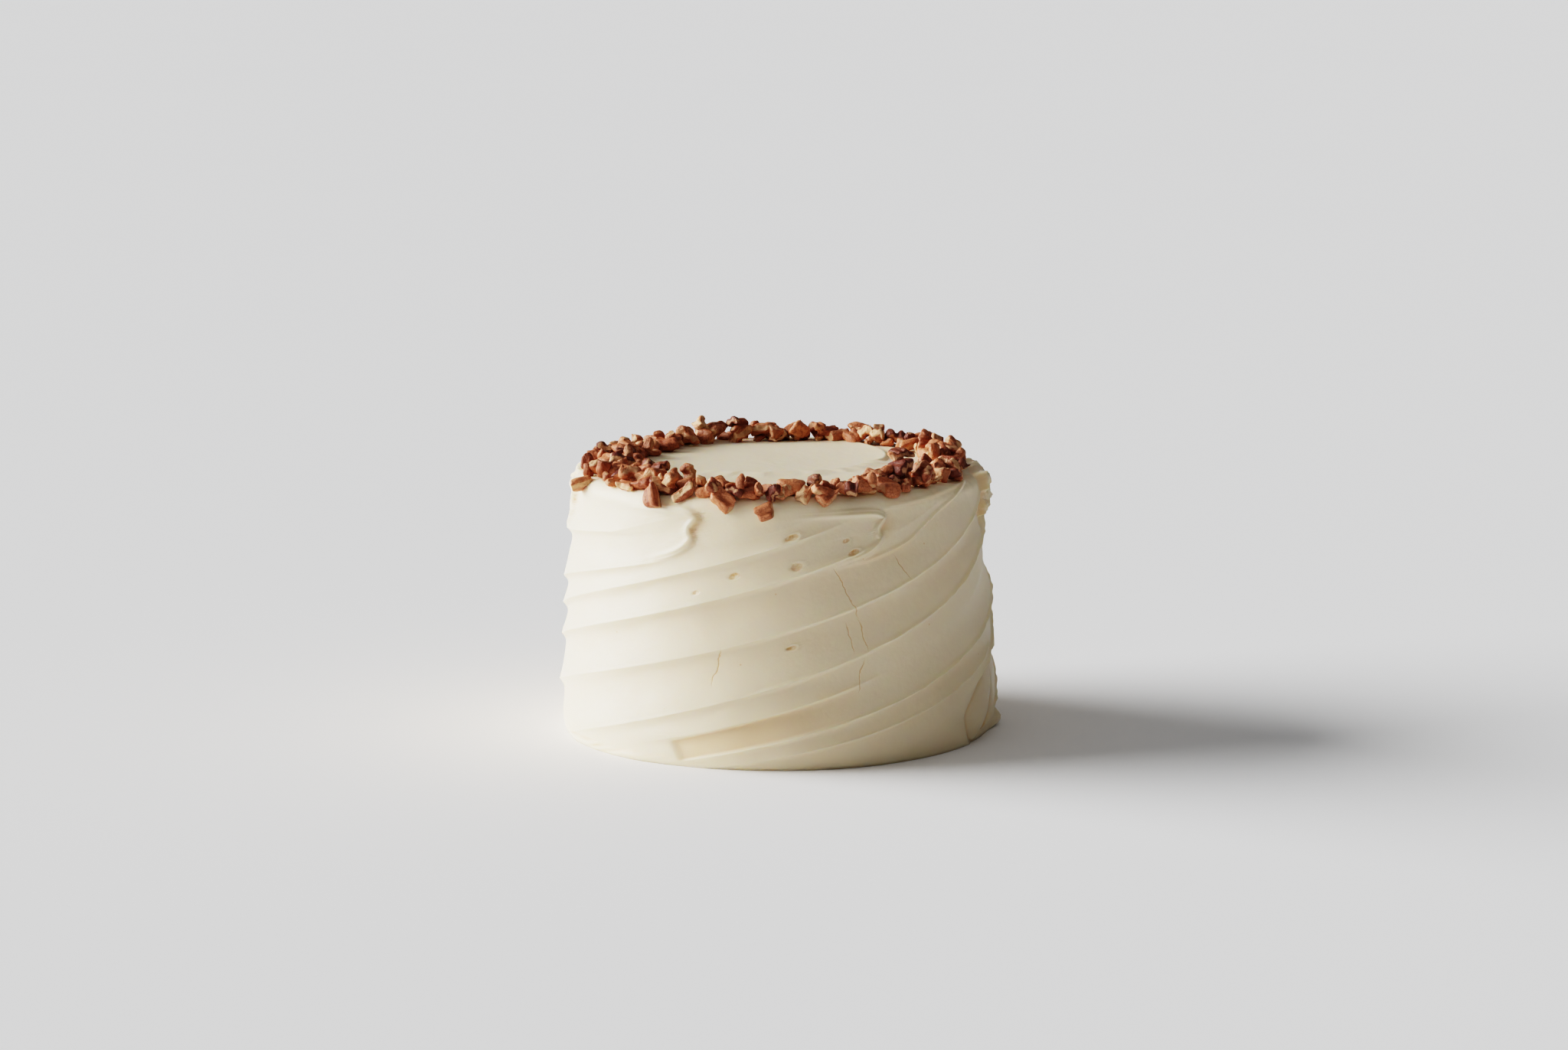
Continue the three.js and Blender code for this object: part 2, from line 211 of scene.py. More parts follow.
# Ledge of smeared icing along the left foot, and a blob at the right one
LEDGE_ENDS = (-76.0, -66.0, -40.0, -28.0)
LEDGE_HEIGHT = 4.6
LEDGE_WAVES = ((1.4, 9.0), (0.8, 23.0))
LEDGE_DEPTH = 1.9
LEDGE_BARE = 0.6
BLOB_ANGLE = 90.0
BLOB_SPREAD = 7.0
BLOB_HEIGHTS = (4.0, 13.0)
BLOB_DEPTH = 6.5

# Pits that air left in the icing: angle, height, length along the stroke, width and depth
PITS = (
    (4.0, 144.3, 9.0, 4.0, 2.2), (20.7, 133.8, 8.5, 3.4, 2.2), (5.2, 126.3, 8.0, 4.8, 1.8),
    (18.8, 141.3, 5.0, 2.6, 1.3), (-11.2, 120.6, 7.0, 4.0, 1.1), (-21.7, 109.1, 4.4, 2.8, 1.5),
    (3.7, 76.5, 7.0, 3.2, 1.8), (118.0, 132.0, 8.0, 4.0, 2.0), (126.0, 101.0, 6.0, 3.2, 1.6),
    (164.0, 140.0, 8.0, 3.6, 2.0), (171.0, 86.0, 6.5, 3.2, 1.7), (203.0, 122.0, 8.0, 4.2, 1.8),
    (222.0, 66.0, 5.5, 3.0, 1.5), (251.0, 104.0, 7.0, 3.6, 1.6),
)
PIT_SLOPE = 20.0
PIT_DEPTH = 0.36
PIT_RIM = 0.2
PIT_RAGGED = 0.3
PIT_GRAIN = 2.4
# Wall, bare floor and rim of a pit, at shares of its half width, and where along it the rim shows
PIT_WALL = (0.6, 1.1)
PIT_BARE = (0.6, 1.05)
PIT_RIM_AT = (1.3, 0.22)
PIT_RIM_FROM = (-0.2, 0.9)

# Rough flap of icing left standing under the shoulder at the right, and the notch under it
FLAP_ANGLE = 82.5
FLAP_LOW = 141.0
FLAP_TOP = 163.0
FLAP_HEIGHT = 6.6
FLAP_SLANT = 0.12
FLAP_WAVES = ((2.0, 13.0), (1.1, 34.0))
FLAP_RAMP = 1.8
FLAP_END = (22.0, 48.0)
FLAP_WIDEN = 0.1
FLAP_FADE = 8.0
FLAP_TAN = 0.4
FLAP_TAN_AT = 0.9
NOTCH_DEPTH = 1.6
NOTCH_BELOW = 2.5
NOTCH_SPREAD = 2.2
NOTCH_END = (6.0, 20.0)
# Side that is worn down round the flap: its angle, spread and depth, and how much more at the shoulder
WORN_ANGLE = 92.0
WORN_SPREAD = 30.0
WORN_DEPTH = 2.4
WORN_MORE = 1.2
WORN_HEIGHTS = (75.0, 130.0)
WORN_SHOULDER = (150.0, 166.0)
WORN_RADII = (104.0, 124.0)

# Fine unevenness as layers of grain, each a strength, a size and a seed, and where it shows
UNEVEN_GRAINS = ((1.0, 55, 1), (0.4, 19, 2))
RUFFLE_GRAINS = ((0.3, 9, 13), (0.12, 3.6, 14))
NICK_GRAINS = ((0.5, 6, 3), (0.6, 2.4, 4))
FLAP_GRAINS = ((0.25, 4, 8), (0.15, 1.8, 9))
RUFFLED_LEANS = (0.0, 0.3, 1.2, 1.5)
TOP_CALM = 0.45
FOOT_FADE = (-4, 3)
UNDERSIDE_RADIUS = 100

# Flat of the last round stroke on the top: its middle, radius and step, and the lean that counts as top
SWIRL_MIDDLE = (-8.0, 41.0)
SWIRL_RADIUS = 79.0
SWIRL_STEP = 1.3
SWIRL_REACH = 30.0
SWIRL_RIDGE = 0.3
RIDGE_INSET = 1.2
SWIRL_EDGE = (-0.6, 1.0)
SWIRL_SLANT = 0.6
SWIRL_SHOWN = (-75.0, 0.0)
FLAT_LEAN = 1.55

# Cracks in the icing: angle and height of the upper end, then of the lower end
CRACKS = (
    (15.3, 126.0, 22.6, 92.0), (22.0, 94.0, 24.1, 72.0), (23.0, 69.0, 21.2, 46.0), (18.2, 92.5, 20.6, 71.0),
    (33.4, 131.0, 38.4, 113.0), (-14.5, 77.5, -17.0, 51.0), (149.0, 122.0, 153.0, 88.0),
    (214.0, 96.0, 210.0, 62.0),
)
# How far a crack wanders to each side, its half width at the edge and at full strength, and how it tapers
CRACK_WANDER = 1.7
CRACK_EDGE = 0.22
CRACK_CORE = 0.08
CRACK_TAPER = 6.0

# Pecan half that is chopped: the two grooves of its back and the channel below, in millimetres
GROOVE_AT = 2.7
GROOVE_SPREAD = 1.1
GROOVE_DEPTH = 2.0
CHANNEL_SPREAD = 1.7
CHANNEL_DEPTH = 3.2
BELLY_FLAT = 0.22
TAPER_LENGTH = 15.0
# Groups of chopped shapes: how many, shortest and longest in millimetres, and triangles of each
CUT_GROUPS = ((22, 11.0, 19.0, 1000), (8, 8.0, 11.0, 420))
# Shares of the shapes that are split along the half, and sliced off below
SPLIT_SHARE = 0.85
SLICED_SHARE = 0.35
# Rounding of a piece, and how deep below the half's skin it loses its skin and counts as broken
VOXEL = 0.5
ROUND_PASSES = 60
SOFT_PASSES = 8
SKIN_DEPTH = (0.7, 1.7)
BROKEN_DEPTH = (0.6, 1.5)

# Ring of chopped pecans, placed by the same rule as the solids
LOWER_PECANS = 98
# Sectors with a second layer: first and last angle, and how many pieces
UPPER_SECTORS = (
    (21.0, 46.0, 10), (-66.0, -34.0, 6), (148.0, 218.0, 14), (-112.0, -76.0, 5), (72.0, 112.0, 5),
)
# How far out the second layer lies, as shares of the ring's width
UPPER_SPAN = (0.15, 0.7)
PECAN_BITS = 80
BIT_TRIES = 9
ASIDE_TRIES = (-1.5, 0, 1.5)
RING_OUTER = 122.0
RING_FRONT_SHIFT = 9.0
RING_SIDE_PINCH = 3.5
RING_FRONT_TURN = 12.0
RING_FRONT_BEND = 1.1
RING_FRONT_NARROW = 14.0
RING_FRONT_AT = 4.0
RING_FRONT_SPREAD = 24.0
RING_INNER = 99.0
RING_SWAY = 10.0
RING_NARROW_AT = 140.0
SPREAD_PASSES = 24
PECAN_SPACE = 13.5
STRAY_SPACE = 19.0
PUSH_SHARE = 0.25
PECAN_LENGTH = 14.2
MOST_LEAN = 18.0
MOST_ROLL = 35.0
# Sizes of the pieces and bits as shares, how far they stray in and out, and how a slope turns them
PIECE_SIZES = (0.72, 1.28)
PIECE_STRAY = (-4, 1.5)
BIT_SIZES = (0.7, 1.15)
BIT_INWARD = 4
BIT_OUTWARD = 1
STEEPEST = 0.9
STEEP = 15
STEEP_SPIN = 0.35
# Percentage of a piece's points, or of a bit's, that sinks into what it lies on
PIECE_SUNK = 12
BIT_SUNK = 10
# How far a piece's pattern is shifted at a tint of 1, in metres
TINT_SHIFT = 0.1
# Numbers behind the even places, the repeatable draws and the grain
GOLDEN_ANGLE = 137.508
GOLDEN_SHARE = 0.754878
DRAW_PIECE = 12.9898
DRAW_USE = 78.233
DRAW_SPREAD = 43758.5453
GRAIN_SHIFT = 17.3
GRAIN_MIX = (127.1, 311.7, 74.7)

# Single pecans on the shoulder: node, angle, radius, height and length, then the directions of the half's
# length and back, as right, inward and up, the planes that chop it, and its tint
STRAYS = (
    ("pecan_left", -68.5, 131.1, 164.7, 15.0, (0.25, 1.0, 0.25), (0.0, -0.3, 1.0),
     (((-7.0, 0.0, 0.0), (-1.0, 0.2, 0.1)), ((6.0, 0.0, 0.0), (1.0, 0.1, 0.3)),
      ((0.0, -1.5, 0.0), (0.1, -1.0, -0.3))), 0.3),
    ("pecan_wedge", -35.5, 132.0, 165.6, 16.8, (-0.4, 0.35, 1.0), (-0.1, -1.0, 0.2),
     (((-7.5, 0.0, 0.0), (-1.0, 0.3, 0.0)), ((5.0, 0.0, 0.0), (1.0, 0.3, 0.2)),
      ((0.0, -0.8, 0.0), (0.1, -1.0, -0.3))), 0.7),
    ("pecan_low", -3.1, 133.5, 160.4, 12.5, (1.0, 0.1, 0.35), (0.1, 1.0, -0.2),
     (((-6.0, 0.0, 0.0), (-1.0, 0.2, 0.2)), ((6.0, 0.0, 0.0), (1.0, 0.2, -0.3)),
      ((0.0, 5.0, 0.0), (0.0, 1.0, 0.3))), 0.22),
)
STRAY_SEED = 40
STRAY_FACES = 2600
STRAY_ROUGH = 0.4

# Studio: its floor and the camera's sight in metres, the sensor in millimetres, and its pale colours
FLOOR_RADIUS = 60.0
FLOOR_SIDES = 128
SENSOR_WIDTH = 36.0
SIGHT = 200.0
WHITE = (1.0, 1.0, 1.0, 1.0)
PAPER_SHADE = 0.985


def settings():
    """The settings in the sidebar."""
    return bpy.context.scene.hummingbird_cake


def smoothstep(value, low, high):
    """A smooth step from 0 at low to 1 at high."""
    share = np.clip((value - low) / (high - low), 0, 1)
    return share * share * (3 - 2 * share)


def window(value, start, full, fade, end):
    """0 up to the start, 1 from full to fade, and 0 again from the end on."""
    return smoothstep(value, start, full) * (1 - smoothstep(value, fade, end))


def bell(value, middle, spread):
    """1 at the middle, falling off to both sides."""
    return np.exp(-(((value - middle) / spread) ** 2))


def lerp(start, end, share):
    """The value that lies at a share of the way from start to end."""
    return start + (end - start) * share


def draw(piece, use, low=0.0, high=1.0):
    """A repeatable draw between two values for the given piece and use."""
    return lerp(low, high, math.sin(piece * DRAW_PIECE + use * DRAW_USE) * DRAW_SPREAD % 1)


def grain(points, size, seed):
    """Smooth noise from -1 to 1 at points, with lumps of the given size."""
    at = np.asarray(points) / size + GRAIN_SHIFT * seed
    base = np.floor(at)
    part = at - base
    part = part * part * (3 - 2 * part)
    total = np.zeros(len(at))
    for corner in itertools.product((0, 1), repeat=3):
        value = np.sin((base + corner) @ GRAIN_MIX) * DRAW_SPREAD
        weight = np.prod(np.where(corner, part, 1 - part), axis=1)
        total += weight * (value - np.floor(value))
    return 2 * total - 1


def grains(points, *layers):
    """Layers of smooth noise added up, each with a strength, a size and a seed."""
    return sum(strength * grain(points, size, seed) for strength, size, seed in layers)


def around(angle, radius, height):
    """Points at angles round the cake, distances from its axis and heights."""
    turn = np.radians(angle)
    return np.stack(np.broadcast_arrays(radius * np.sin(turn), -radius * np.cos(turn), height), axis=-1)


def turned(angle, middle):
    """Angles measured from a middle angle, between -180 and 180."""
    return (angle - middle + 180) % 360 - 180


def beyond(angle, middle, near, far):
    """0 within one turn of a middle angle, and 1 past another."""
    return smoothstep(np.abs(turned(angle, middle)), near, far)


def waves(turn, sizes):
    """Waves round the cake, each with a height and how often it comes."""
    return sum(size * np.sin(np.radians(turn * often)) for size, often in sizes)


def smooth_line(points, steps=6):
    """A smooth line through points, as a list of closer points."""
    ends = np.array([points[0], *points, points[-1]], float)
    share = np.linspace(0, 1, steps, endpoint=False)[:, None]
    line = []
    for a, b, c, d in zip(ends, ends[1:], ends[2:], ends[3:]):
        bend = (2 * a - 5 * b + 4 * c - d) * share**2 + (3 * b - a - 3 * c + d) * share**3
        line.extend(b + 0.5 * ((c - a) * share + bend))
    line.append(ends[-1])
    return np.array(line)


def line_distance(points, line):
    """How far each point is to the right of a line, less than 0 to its left, and how far along it is."""
    nearest = np.full(len(points), np.inf)
    side = np.zeros(len(points))
    along = np.zeros(len(points))
    for k, (a, b) in enumerate(zip(line, line[1:])):
        run = b - a
        share = np.clip((points - a) @ run / (run @ run), 0, 1)
        away = points - a - share[:, None] * run
        distance = np.hypot(away[:, 0], away[:, 1])
        right = run[1] * away[:, 0] - run[0] * away[:, 1]
        closer = distance < nearest
        nearest[closer] = distance[closer]
        side[closer] = np.sign(right[closer])
        along[closer] = (k + share[closer]) / (len(line) - 1)
    return nearest * side, along


def near_line(angle, height, middle, line, box):
    """Which places lie in the box round a line on the side, how far to its right, and how far along it."""
    run = turned(angle, middle) * MM_PER_DEGREE
    left, right, low, high = box
    near = np.nonzero((run > left) & (run < right) & (height > low) & (height < high))[0]
    return near, *line_distance(np.stack([run[near], height[near]], axis=-1), smooth_line(line))


def turn_matrix(x, y, z):
    """Turns about X, then Y, then Z, in degrees."""
    made = np.identity(3)
    for axis, angle in enumerate((x, y, z)):
        c, s = math.cos(math.radians(angle)), math.sin(math.radians(angle))
        turn = np.identity(3)
        a, b = [k for k in range(3) if k != axis]
        sign = -1 if axis == 1 else 1
        turn[a, a], turn[a, b], turn[b, a], turn[b, b] = c, -sign * s, sign * s, c
        made = turn @ made
    return made


def facing_matrix(along, back):
    """Turns that lay a half's length along one direction and its back towards another."""
    x = np.array(along) / np.linalg.norm(along)
    y = np.cross(back, x)
    y /= np.linalg.norm(y)
    return np.stack([x, y, np.cross(x, y)], axis=1)


class IcingSettings(bpy.types.PropertyGroup):
    """Sizes and colours of the icing."""

    columns: bpy.props.IntProperty(
        name="Columns", description="Columns of the icing's mesh round the cake", default=370, min=60)
    side_rows: bpy.props.IntProperty(
        name="Side rows", description="Rows of the icing's mesh up the side", default=104, min=40)
    bead: bpy.props.FloatProperty(
        name="Crest bead", description="How far the thin bead along a crest stands out",
        default=1.2 * MM, unit="LENGTH")
    unevenness: bpy.props.FloatProperty(
        name="Unevenness", description="How far the hand-spread icing wanders in and out",
        default=0.7 * MM, unit="LENGTH")
    cream: bpy.props.FloatVectorProperty(
        name="Cream", description="Icing where it stands proud", subtype="COLOR", size=4,
        default=(0.93, 0.79, 0.58, 1.0), min=0, max=1)
    # Painted shade: a darker, warmer copy of the cream, put into the hollows of the strokes
    shade_cream: bpy.props.FloatVectorProperty(
        name="Deep cream", description="Icing in the hollows of the strokes", subtype="COLOR", size=4,
        default=(0.91, 0.745, 0.53, 1.0), min=0, max=1)
    # Crumb also paints the warm shade beside the tongues
    crumb: bpy.props.FloatVectorProperty(
        name="Crumb", description="Sponge that shows through in pits and cracks", subtype="COLOR", size=4,
        default=(0.76, 0.50, 0.24, 1.0), min=0, max=1)


class PecanSettings(bpy.types.PropertyGroup):
    """Sizes and colours of the chopped pecans."""

    half_length: bpy.props.FloatProperty(
        name="Half length", description="Length of the pecan half that is chopped",
        default=30 * MM, unit="LENGTH")
    half_width: bpy.props.FloatProperty(
        name="Half width", description="Width of the pecan half that is chopped",
        default=15 * MM, unit="LENGTH")
    half_thickness: bpy.props.FloatProperty(
        name="Half thickness", description="Thickness of the pecan half that is chopped",
        default=10.5 * MM, unit="LENGTH")
    skin: bpy.props.FloatVectorProperty(
        name="Skin", description="Reddish brown skin", subtype="COLOR", size=4,
        default=(0.585, 0.235, 0.118, 1.0), min=0, max=1)
    # Dark skin is also the colour of the shade painted into the creases
    dark_skin_and_shade: bpy.props.FloatVectorProperty(
        name="Dark skin", description="Skin of the darkest pieces", subtype="COLOR", size=4,
        default=(0.23, 0.052, 0.024, 1.0), min=0, max=1)
    plum_skin: bpy.props.FloatVectorProperty(
        name="Plum skin", description="Skin of the few pieces that are nearly purple",
        subtype="COLOR", size=4, default=(0.095, 0.024, 0.02, 1.0), min=0, max=1)
    flesh: bpy.props.FloatVectorProperty(
        name="Flesh", description="Broken flesh", subtype="COLOR", size=4,
        default=(0.62, 0.335, 0.195, 1.0), min=0, max=1)
    golden_flesh: bpy.props.FloatVectorProperty(
        name="Golden flesh", description="Broken flesh of the palest pieces", subtype="COLOR", size=4,
        default=(0.76, 0.48, 0.275, 1.0), min=0, max=1)


class StudioSettings(bpy.types.PropertyGroup):
    """The studio that the cake is shown in."""

    floor: bpy.props.FloatVectorProperty(
        name="Floor", description="Pale paper of the floor", subtype="COLOR", size=4,
        default=(0.985, 0.985, 0.99, 1.0), min=0, max=1)
    key_strength: bpy.props.FloatProperty(
        name="Key strength", description="Strength of the soft light at the left", default=6.6)
    key_spread: bpy.props.FloatProperty(
        name="Key spread", description="How wide the soft light looks from the cake",
        default=math.radians(50), subtype="ANGLE")
    key_aside: bpy.props.FloatProperty(
        name="Key aside", description="How far round to the left the soft light stands",
        default=math.radians(97), subtype="ANGLE")
    key_raise: bpy.props.FloatProperty(
        name="Key raise", description="How high the soft light stands",
        default=math.radians(14), subtype="ANGLE")
    top_strength: bpy.props.FloatProperty(
        name="Top strength", description="Strength of the soft light overhead", default=0.6)
    top_spread: bpy.props.FloatProperty(
        name="Top spread", description="How wide the light overhead looks from the cake",
        default=math.radians(110), subtype="ANGLE")
    sky_strength: bpy.props.FloatProperty(
        name="Sky strength", description="Strength of the even light from all round", default=0.0)
    backdrop: bpy.props.FloatProperty(
        name="Backdrop", description="Brightness that the camera sees past the floor's edge", default=0.7)
    camera_distance: bpy.props.FloatProperty(
        name="Camera distance", description="From the cake's axis to the camera, along the floor",
        default=2.738, unit="LENGTH")
    camera_height: bpy.props.FloatProperty(
        name="Camera height", description="Height of the camera above the cake's foot",
        default=0.59978, unit="LENGTH")
    camera_aside: bpy.props.FloatProperty(
        name="Camera aside", description="How far the camera stands to the right of the axis",
        default=0.00445, unit="LENGTH")
    camera_pitch: bpy.props.FloatProperty(
        name="Camera pitch", description="How far the camera looks down",
        default=math.radians(9.741), subtype="ANGLE")
    lens: bpy.props.FloatProperty(
        name="Lens", description="Focal length on a sensor 36 mm wide", default=99.97, unit="CAMERA")


class CakeSettings(bpy.types.PropertyGroup):
    """All settings of the cake."""

    icing: bpy.props.PointerProperty(type=IcingSettings)
    pecans: bpy.props.PointerProperty(type=PecanSettings)
    studio: bpy.props.PointerProperty(type=StudioSettings)


def pick(piece):
    """Select one piece alone and make it the active one."""
    bpy.ops.object.select_all(action="DESELECT")
    piece.select_set(True)
    bpy.context.view_layer.objects.active = piece


def remove(piece):
    """Delete a piece."""
    pick(piece)
    bpy.ops.object.delete()


def apply_modifier(piece, kind, **values):
    """Put a modifier with the given values on the active piece and apply it."""
    modifier = piece.modifiers.new(kind, kind)
    for name, value in values.items():
        setattr(modifier, name, value)
    bpy.ops.object.modifier_apply(modifier=modifier.name)


def mesh_points(mesh):
    """Points of a mesh, in metres."""
    points = np.empty(3 * len(mesh.vertices))
    mesh.vertices.foreach_get("co", points)
    return points.reshape(-1, 3)


def mesh_arrays(mesh):
    """Points in millimetres and triangles of a mesh."""
    mesh.calc_loop_triangles()
    triangles = np.empty(3 * len(mesh.loop_triangles), int)
    mesh.loop_triangles.foreach_get("vertices", triangles)
    return mesh_points(mesh) / MM, triangles.reshape(-1, 3)


def place_points(mesh, points):
    """Move a mesh's points to places in millimetres."""
    mesh.vertices.foreach_set("co", (points * MM).astype(np.float32).ravel())


def store(mesh, name, values):
    """Store one value or vector a vertex as an attribute of a mesh."""
    kind, field = ("FLOAT_VECTOR", "vector") if np.ndim(values) > 1 else ("FLOAT", "value")
    layer = mesh.attributes.new(name, kind, "POINT")
    layer.data.foreach_set(field, np.asarray(values, np.float32).ravel())


def stored(mesh, name):
    """The values of a mesh's attribute, one a vertex."""
    values = np.empty(len(mesh.vertices))
    mesh.attributes[name].data.foreach_get("value", values)
    return values


def fixed_order(mesh):
    """Put a mesh's points and faces in order of their places, so that each run goes on from the same mesh."""
    points = mesh_arrays(mesh)[0]
    order = np.lexsort(np.round(points, 3).T)
    place = np.argsort(order)
    faces = []
    for face in mesh.polygons:
        corners = [int(place[corner]) for corner in face.vertices]
        first = corners.index(min(corners))
        faces.append(corners[first:] + corners[:first])
    mesh.clear_geometry()
    mesh.from_pydata((points[order] * MM).tolist(), [], sorted(faces))


def dress(piece, material, slot, *nodes):
    """Give a finished piece its material, and let it ride in the place of the nodes; the slot is not used."""
    piece.data.materials.clear()
    piece.data.materials.append(material)
    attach(piece, "root")
    if nodes:
        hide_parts(*nodes)


class Shade:
    """A number that a shader works out at each place; sums and products of shades make the nodes."""

    def __init__(self, socket):
        self.socket = socket

    def node(self, kind, *values):
        """A new node with this number and others on its first sockets."""
        made = self.socket.id_data.nodes.new(kind)
        for socket, value in zip(made.inputs, (self, *values)):
            feed(socket, value)
        return made

    def through(self, operation, *values):
        """This number put through a maths node, with others."""
        made = self.node("ShaderNodeMath", *values)
        made.operation = operation
        return Shade(made.outputs[0])

    def step(self, low, high):
        """A smooth step from 0 at low to 1 at high."""
        made = self.node("ShaderNodeMapRange", low, high)
        made.interpolation_type = "SMOOTHSTEP"
        return Shade(made.outputs[0])

    def most(self, other):
        """The greater of this and another number."""
        return self.through("MAXIMUM", other)

    def __add__(self, other):
        return self.through("ADD", other)

    def __sub__(self, other):
        return self.through("SUBTRACT", other)

    def __rsub__(self, other):
        return self * -1.0 + other

    def __mul__(self, other):
        return self.through("MULTIPLY", other)

    def __truediv__(self, other):
        return self.through("DIVIDE", other)

    def __abs__(self):
        return self.through("ABSOLUTE")

    __radd__ = __add__
    __rmul__ = __mul__


def feed(socket, value):
    """Link a shade or another node's socket to an input, or set the input to a plain value."""
    value = value.socket if isinstance(value, Shade) else value
    if isinstance(value, bpy.types.NodeSocket):
        socket.id_data.links.new(value, socket)
    else:
        socket.default_value = value


def set_inputs(node, **inputs):
    """Set or link a node's inputs by their names, with underscores for spaces."""
    for name, value in inputs.items():
        feed(node.inputs[name.replace("_", " ")], value)


def add_node(tree, kind, **inputs):
    """A new shader node with its inputs set or linked."""
    made = tree.nodes.new(kind)
    set_inputs(made, **inputs)
    return made


def mixed(share, first, second):
    """A colour mixed of two."""
    made = share.socket.id_data.nodes.new("ShaderNodeMix")
    made.data_type = "RGBA"
    for socket, value in zip((made.inputs[0], made.inputs[6], made.inputs[7]), (share, first, second)):
        feed(socket, value)
    return made.outputs[2]


def attribute(tree, name, output="Fac"):
    """The values that a mesh holds under a name."""
    made = tree.nodes.new("ShaderNodeAttribute")
    made.attribute_name = name
    return Shade(made.outputs[output])


def noise(place, scale, detail=2.0):
    """Cloudy noise, with so many lumps a metre."""
    made = add_node(place.id_data, "ShaderNodeTexNoise", Vector=place, Scale=scale, Detail=detail)
    return Shade(made.outputs["Fac"])


def new_material(name):
    """A new material, its tree and its main shader."""
    material = bpy.data.materials.new(name)
    material.use_nodes = True
    return material, material.node_tree, material.node_tree.nodes["Principled BSDF"]


def crack_share(angle, height, jitter, crack):
    """How much a place lies in a crack, from 0 to 1."""
    top_angle, top, low_angle, low = crack
    slope = (low_angle - top_angle) / (low - top)
    middle = slope * height + (top_angle - slope * top)
    off = angle - middle - (2 * CRACK_WANDER * jitter - CRACK_WANDER)
    # Angles past half a turn belong to the back
    thin = abs(off.through("WRAP", 180.0, -180.0)).step(CRACK_EDGE, CRACK_CORE)
    return thin * height.step(low, low + CRACK_TAPER) * height.step(top, top - CRACK_TAPER)


def icing_material():
    """Cream cheese icing: soft and faintly streaked, with shade painted into the hollows, and with cracks,
    pits and specks.
    """
    look = settings().icing
    material, tree, shader = new_material("cream_cheese_icing")
    place = tree.nodes.new("ShaderNodeTexCoord").outputs["Object"]
    parts = add_node(tree, "ShaderNodeSeparateXYZ", Vector=place).outputs
    x, y, z = (Shade(parts[axis]) for axis in "XYZ")
    height = z / MM
    angle = x.through("ARCTAN2", -1.0 * y).through("DEGREES")
    mottle = noise(place, scale=38.0, detail=3.0)
    # Painted shade: the deeper a place lies in the hollows of a stroke, the more it takes the darker cream
    deep = 0.5 * mottle + attribute(tree, "hollow_shade") - 0.25
    colour = mixed(deep.step(0.0, 1.0), tuple(look.cream), tuple(look.shade_cream))
    jitter = noise(place, scale=95.0, detail=3.0)
    cracked = functools.reduce(Shade.most, [crack_share(angle, height, jitter, crack) for crack in CRACKS])
    specks = add_node(tree, "ShaderNodeTexVoronoi", Vector=place, Scale=42.0)
    speck = Shade(specks.outputs["Distance"]).step(0.032, 0.018)
    bare = attribute(tree, "bare")
    # Low values tint the icing evenly, among them the warm shade painted beside the tongues; high ones are
    # sponge that shows through unevenly
    holes = (1.0 - noise(place, scale=420.0).step(0.25, 0.7)) * bare.step(0.64, 0.8)
    tan = (0.78 * cracked).most(bare * (1.0 - holes)).most(0.6 * speck)
    relief = 1.6 * noise(place, scale=160.0) + 0.35 * noise(place, scale=700.0, detail=3.0) - 2.2 * cracked
    bump = add_node(tree, "ShaderNodeBump", Height=relief, Distance=0.25 * MM, Strength=0.55)
    set_inputs(
        shader, Base_Color=mixed(tan, colour, tuple(look.crumb)), Roughness=0.16 * mottle + 0.40,
        Specular_IOR_Level=0.35, Normal=bump.outputs["Normal"],
        Subsurface_Weight=0.55, Subsurface_Radius=(1.0, 0.72, 0.38), Subsurface_Scale=6 * MM)
    return material


def pecan_material():
    """Chopped pecan: wrinkled red-brown skin and grainy tan flesh, each piece of its own tone, with shade
    painted into the creases between its lumps.
    """
    look = settings().pecans
    material, tree, shader = new_material("chopped_pecan")
    place = attribute(tree, "nut", "Vector").socket
    tint, skin, crease_shade = (attribute(tree, name) for name in ("tint", "skin", "crease_shade"))
    stretched = add_node(tree, "ShaderNodeMapping", Vector=place, Scale=(0.35, 1.0, 1.0))
    wrinkle = noise(stretched.outputs["Vector"], scale=700.0, detail=3.0)
    blotch = noise(place, scale=380.0, detail=4.0)
    grains = noise(place, scale=1300.0, detail=3.0)
    # Two more draws a piece, from the first
    second = (7.13 * tint).through("FRACT")
    third = (23.7 * tint).through("FRACT")
    darker = wrinkle + 0.95 * tint
    skin_colour = mixed(darker.step(0.65, 1.75), tuple(look.skin), tuple(look.dark_skin_and_shade))
    skin_colour = mixed(0.75 * third.step(0.88, 0.91), skin_colour, tuple(look.plum_skin))
    paler = 0.7 * blotch + second
    flesh_colour = mixed(paler.step(0.3, 1.2), tuple(look.golden_flesh), tuple(look.flesh))
    covered = (0.9 * blotch + 0.4 * grains + skin + 0.6 * second).step(1.18, 1.85)
    colour = mixed(covered, flesh_colour, skin_colour)
    lines = 0.5 * abs(noise(place, scale=240.0, detail=3.0) - 0.5).step(0.05, 0.0)
    # Painted shade: the creases between the lumps are darkened towards the dark skin colour; the wrinkle
    # lines are the skin's own
    shade_and_lines = (0.6 * crease_shade).most(lines * (0.7 * covered + 0.3))
    relief = 0.7 * grains + wrinkle + blotch
    bump = add_node(tree, "ShaderNodeBump", Height=relief, Distance=0.8 * MM, Strength=0.75)
    set_inputs(
        shader, Base_Color=mixed(shade_and_lines, colour, tuple(look.dark_skin_and_shade)), Roughness=-0.12 * covered + 0.58,
        Specular_IOR_Level=0.4, Normal=bump.outputs["Normal"],
        Subsurface_Weight=0.15, Subsurface_Radius=(1.0, 0.5, 0.25), Subsurface_Scale=1.5 * MM)
    return material


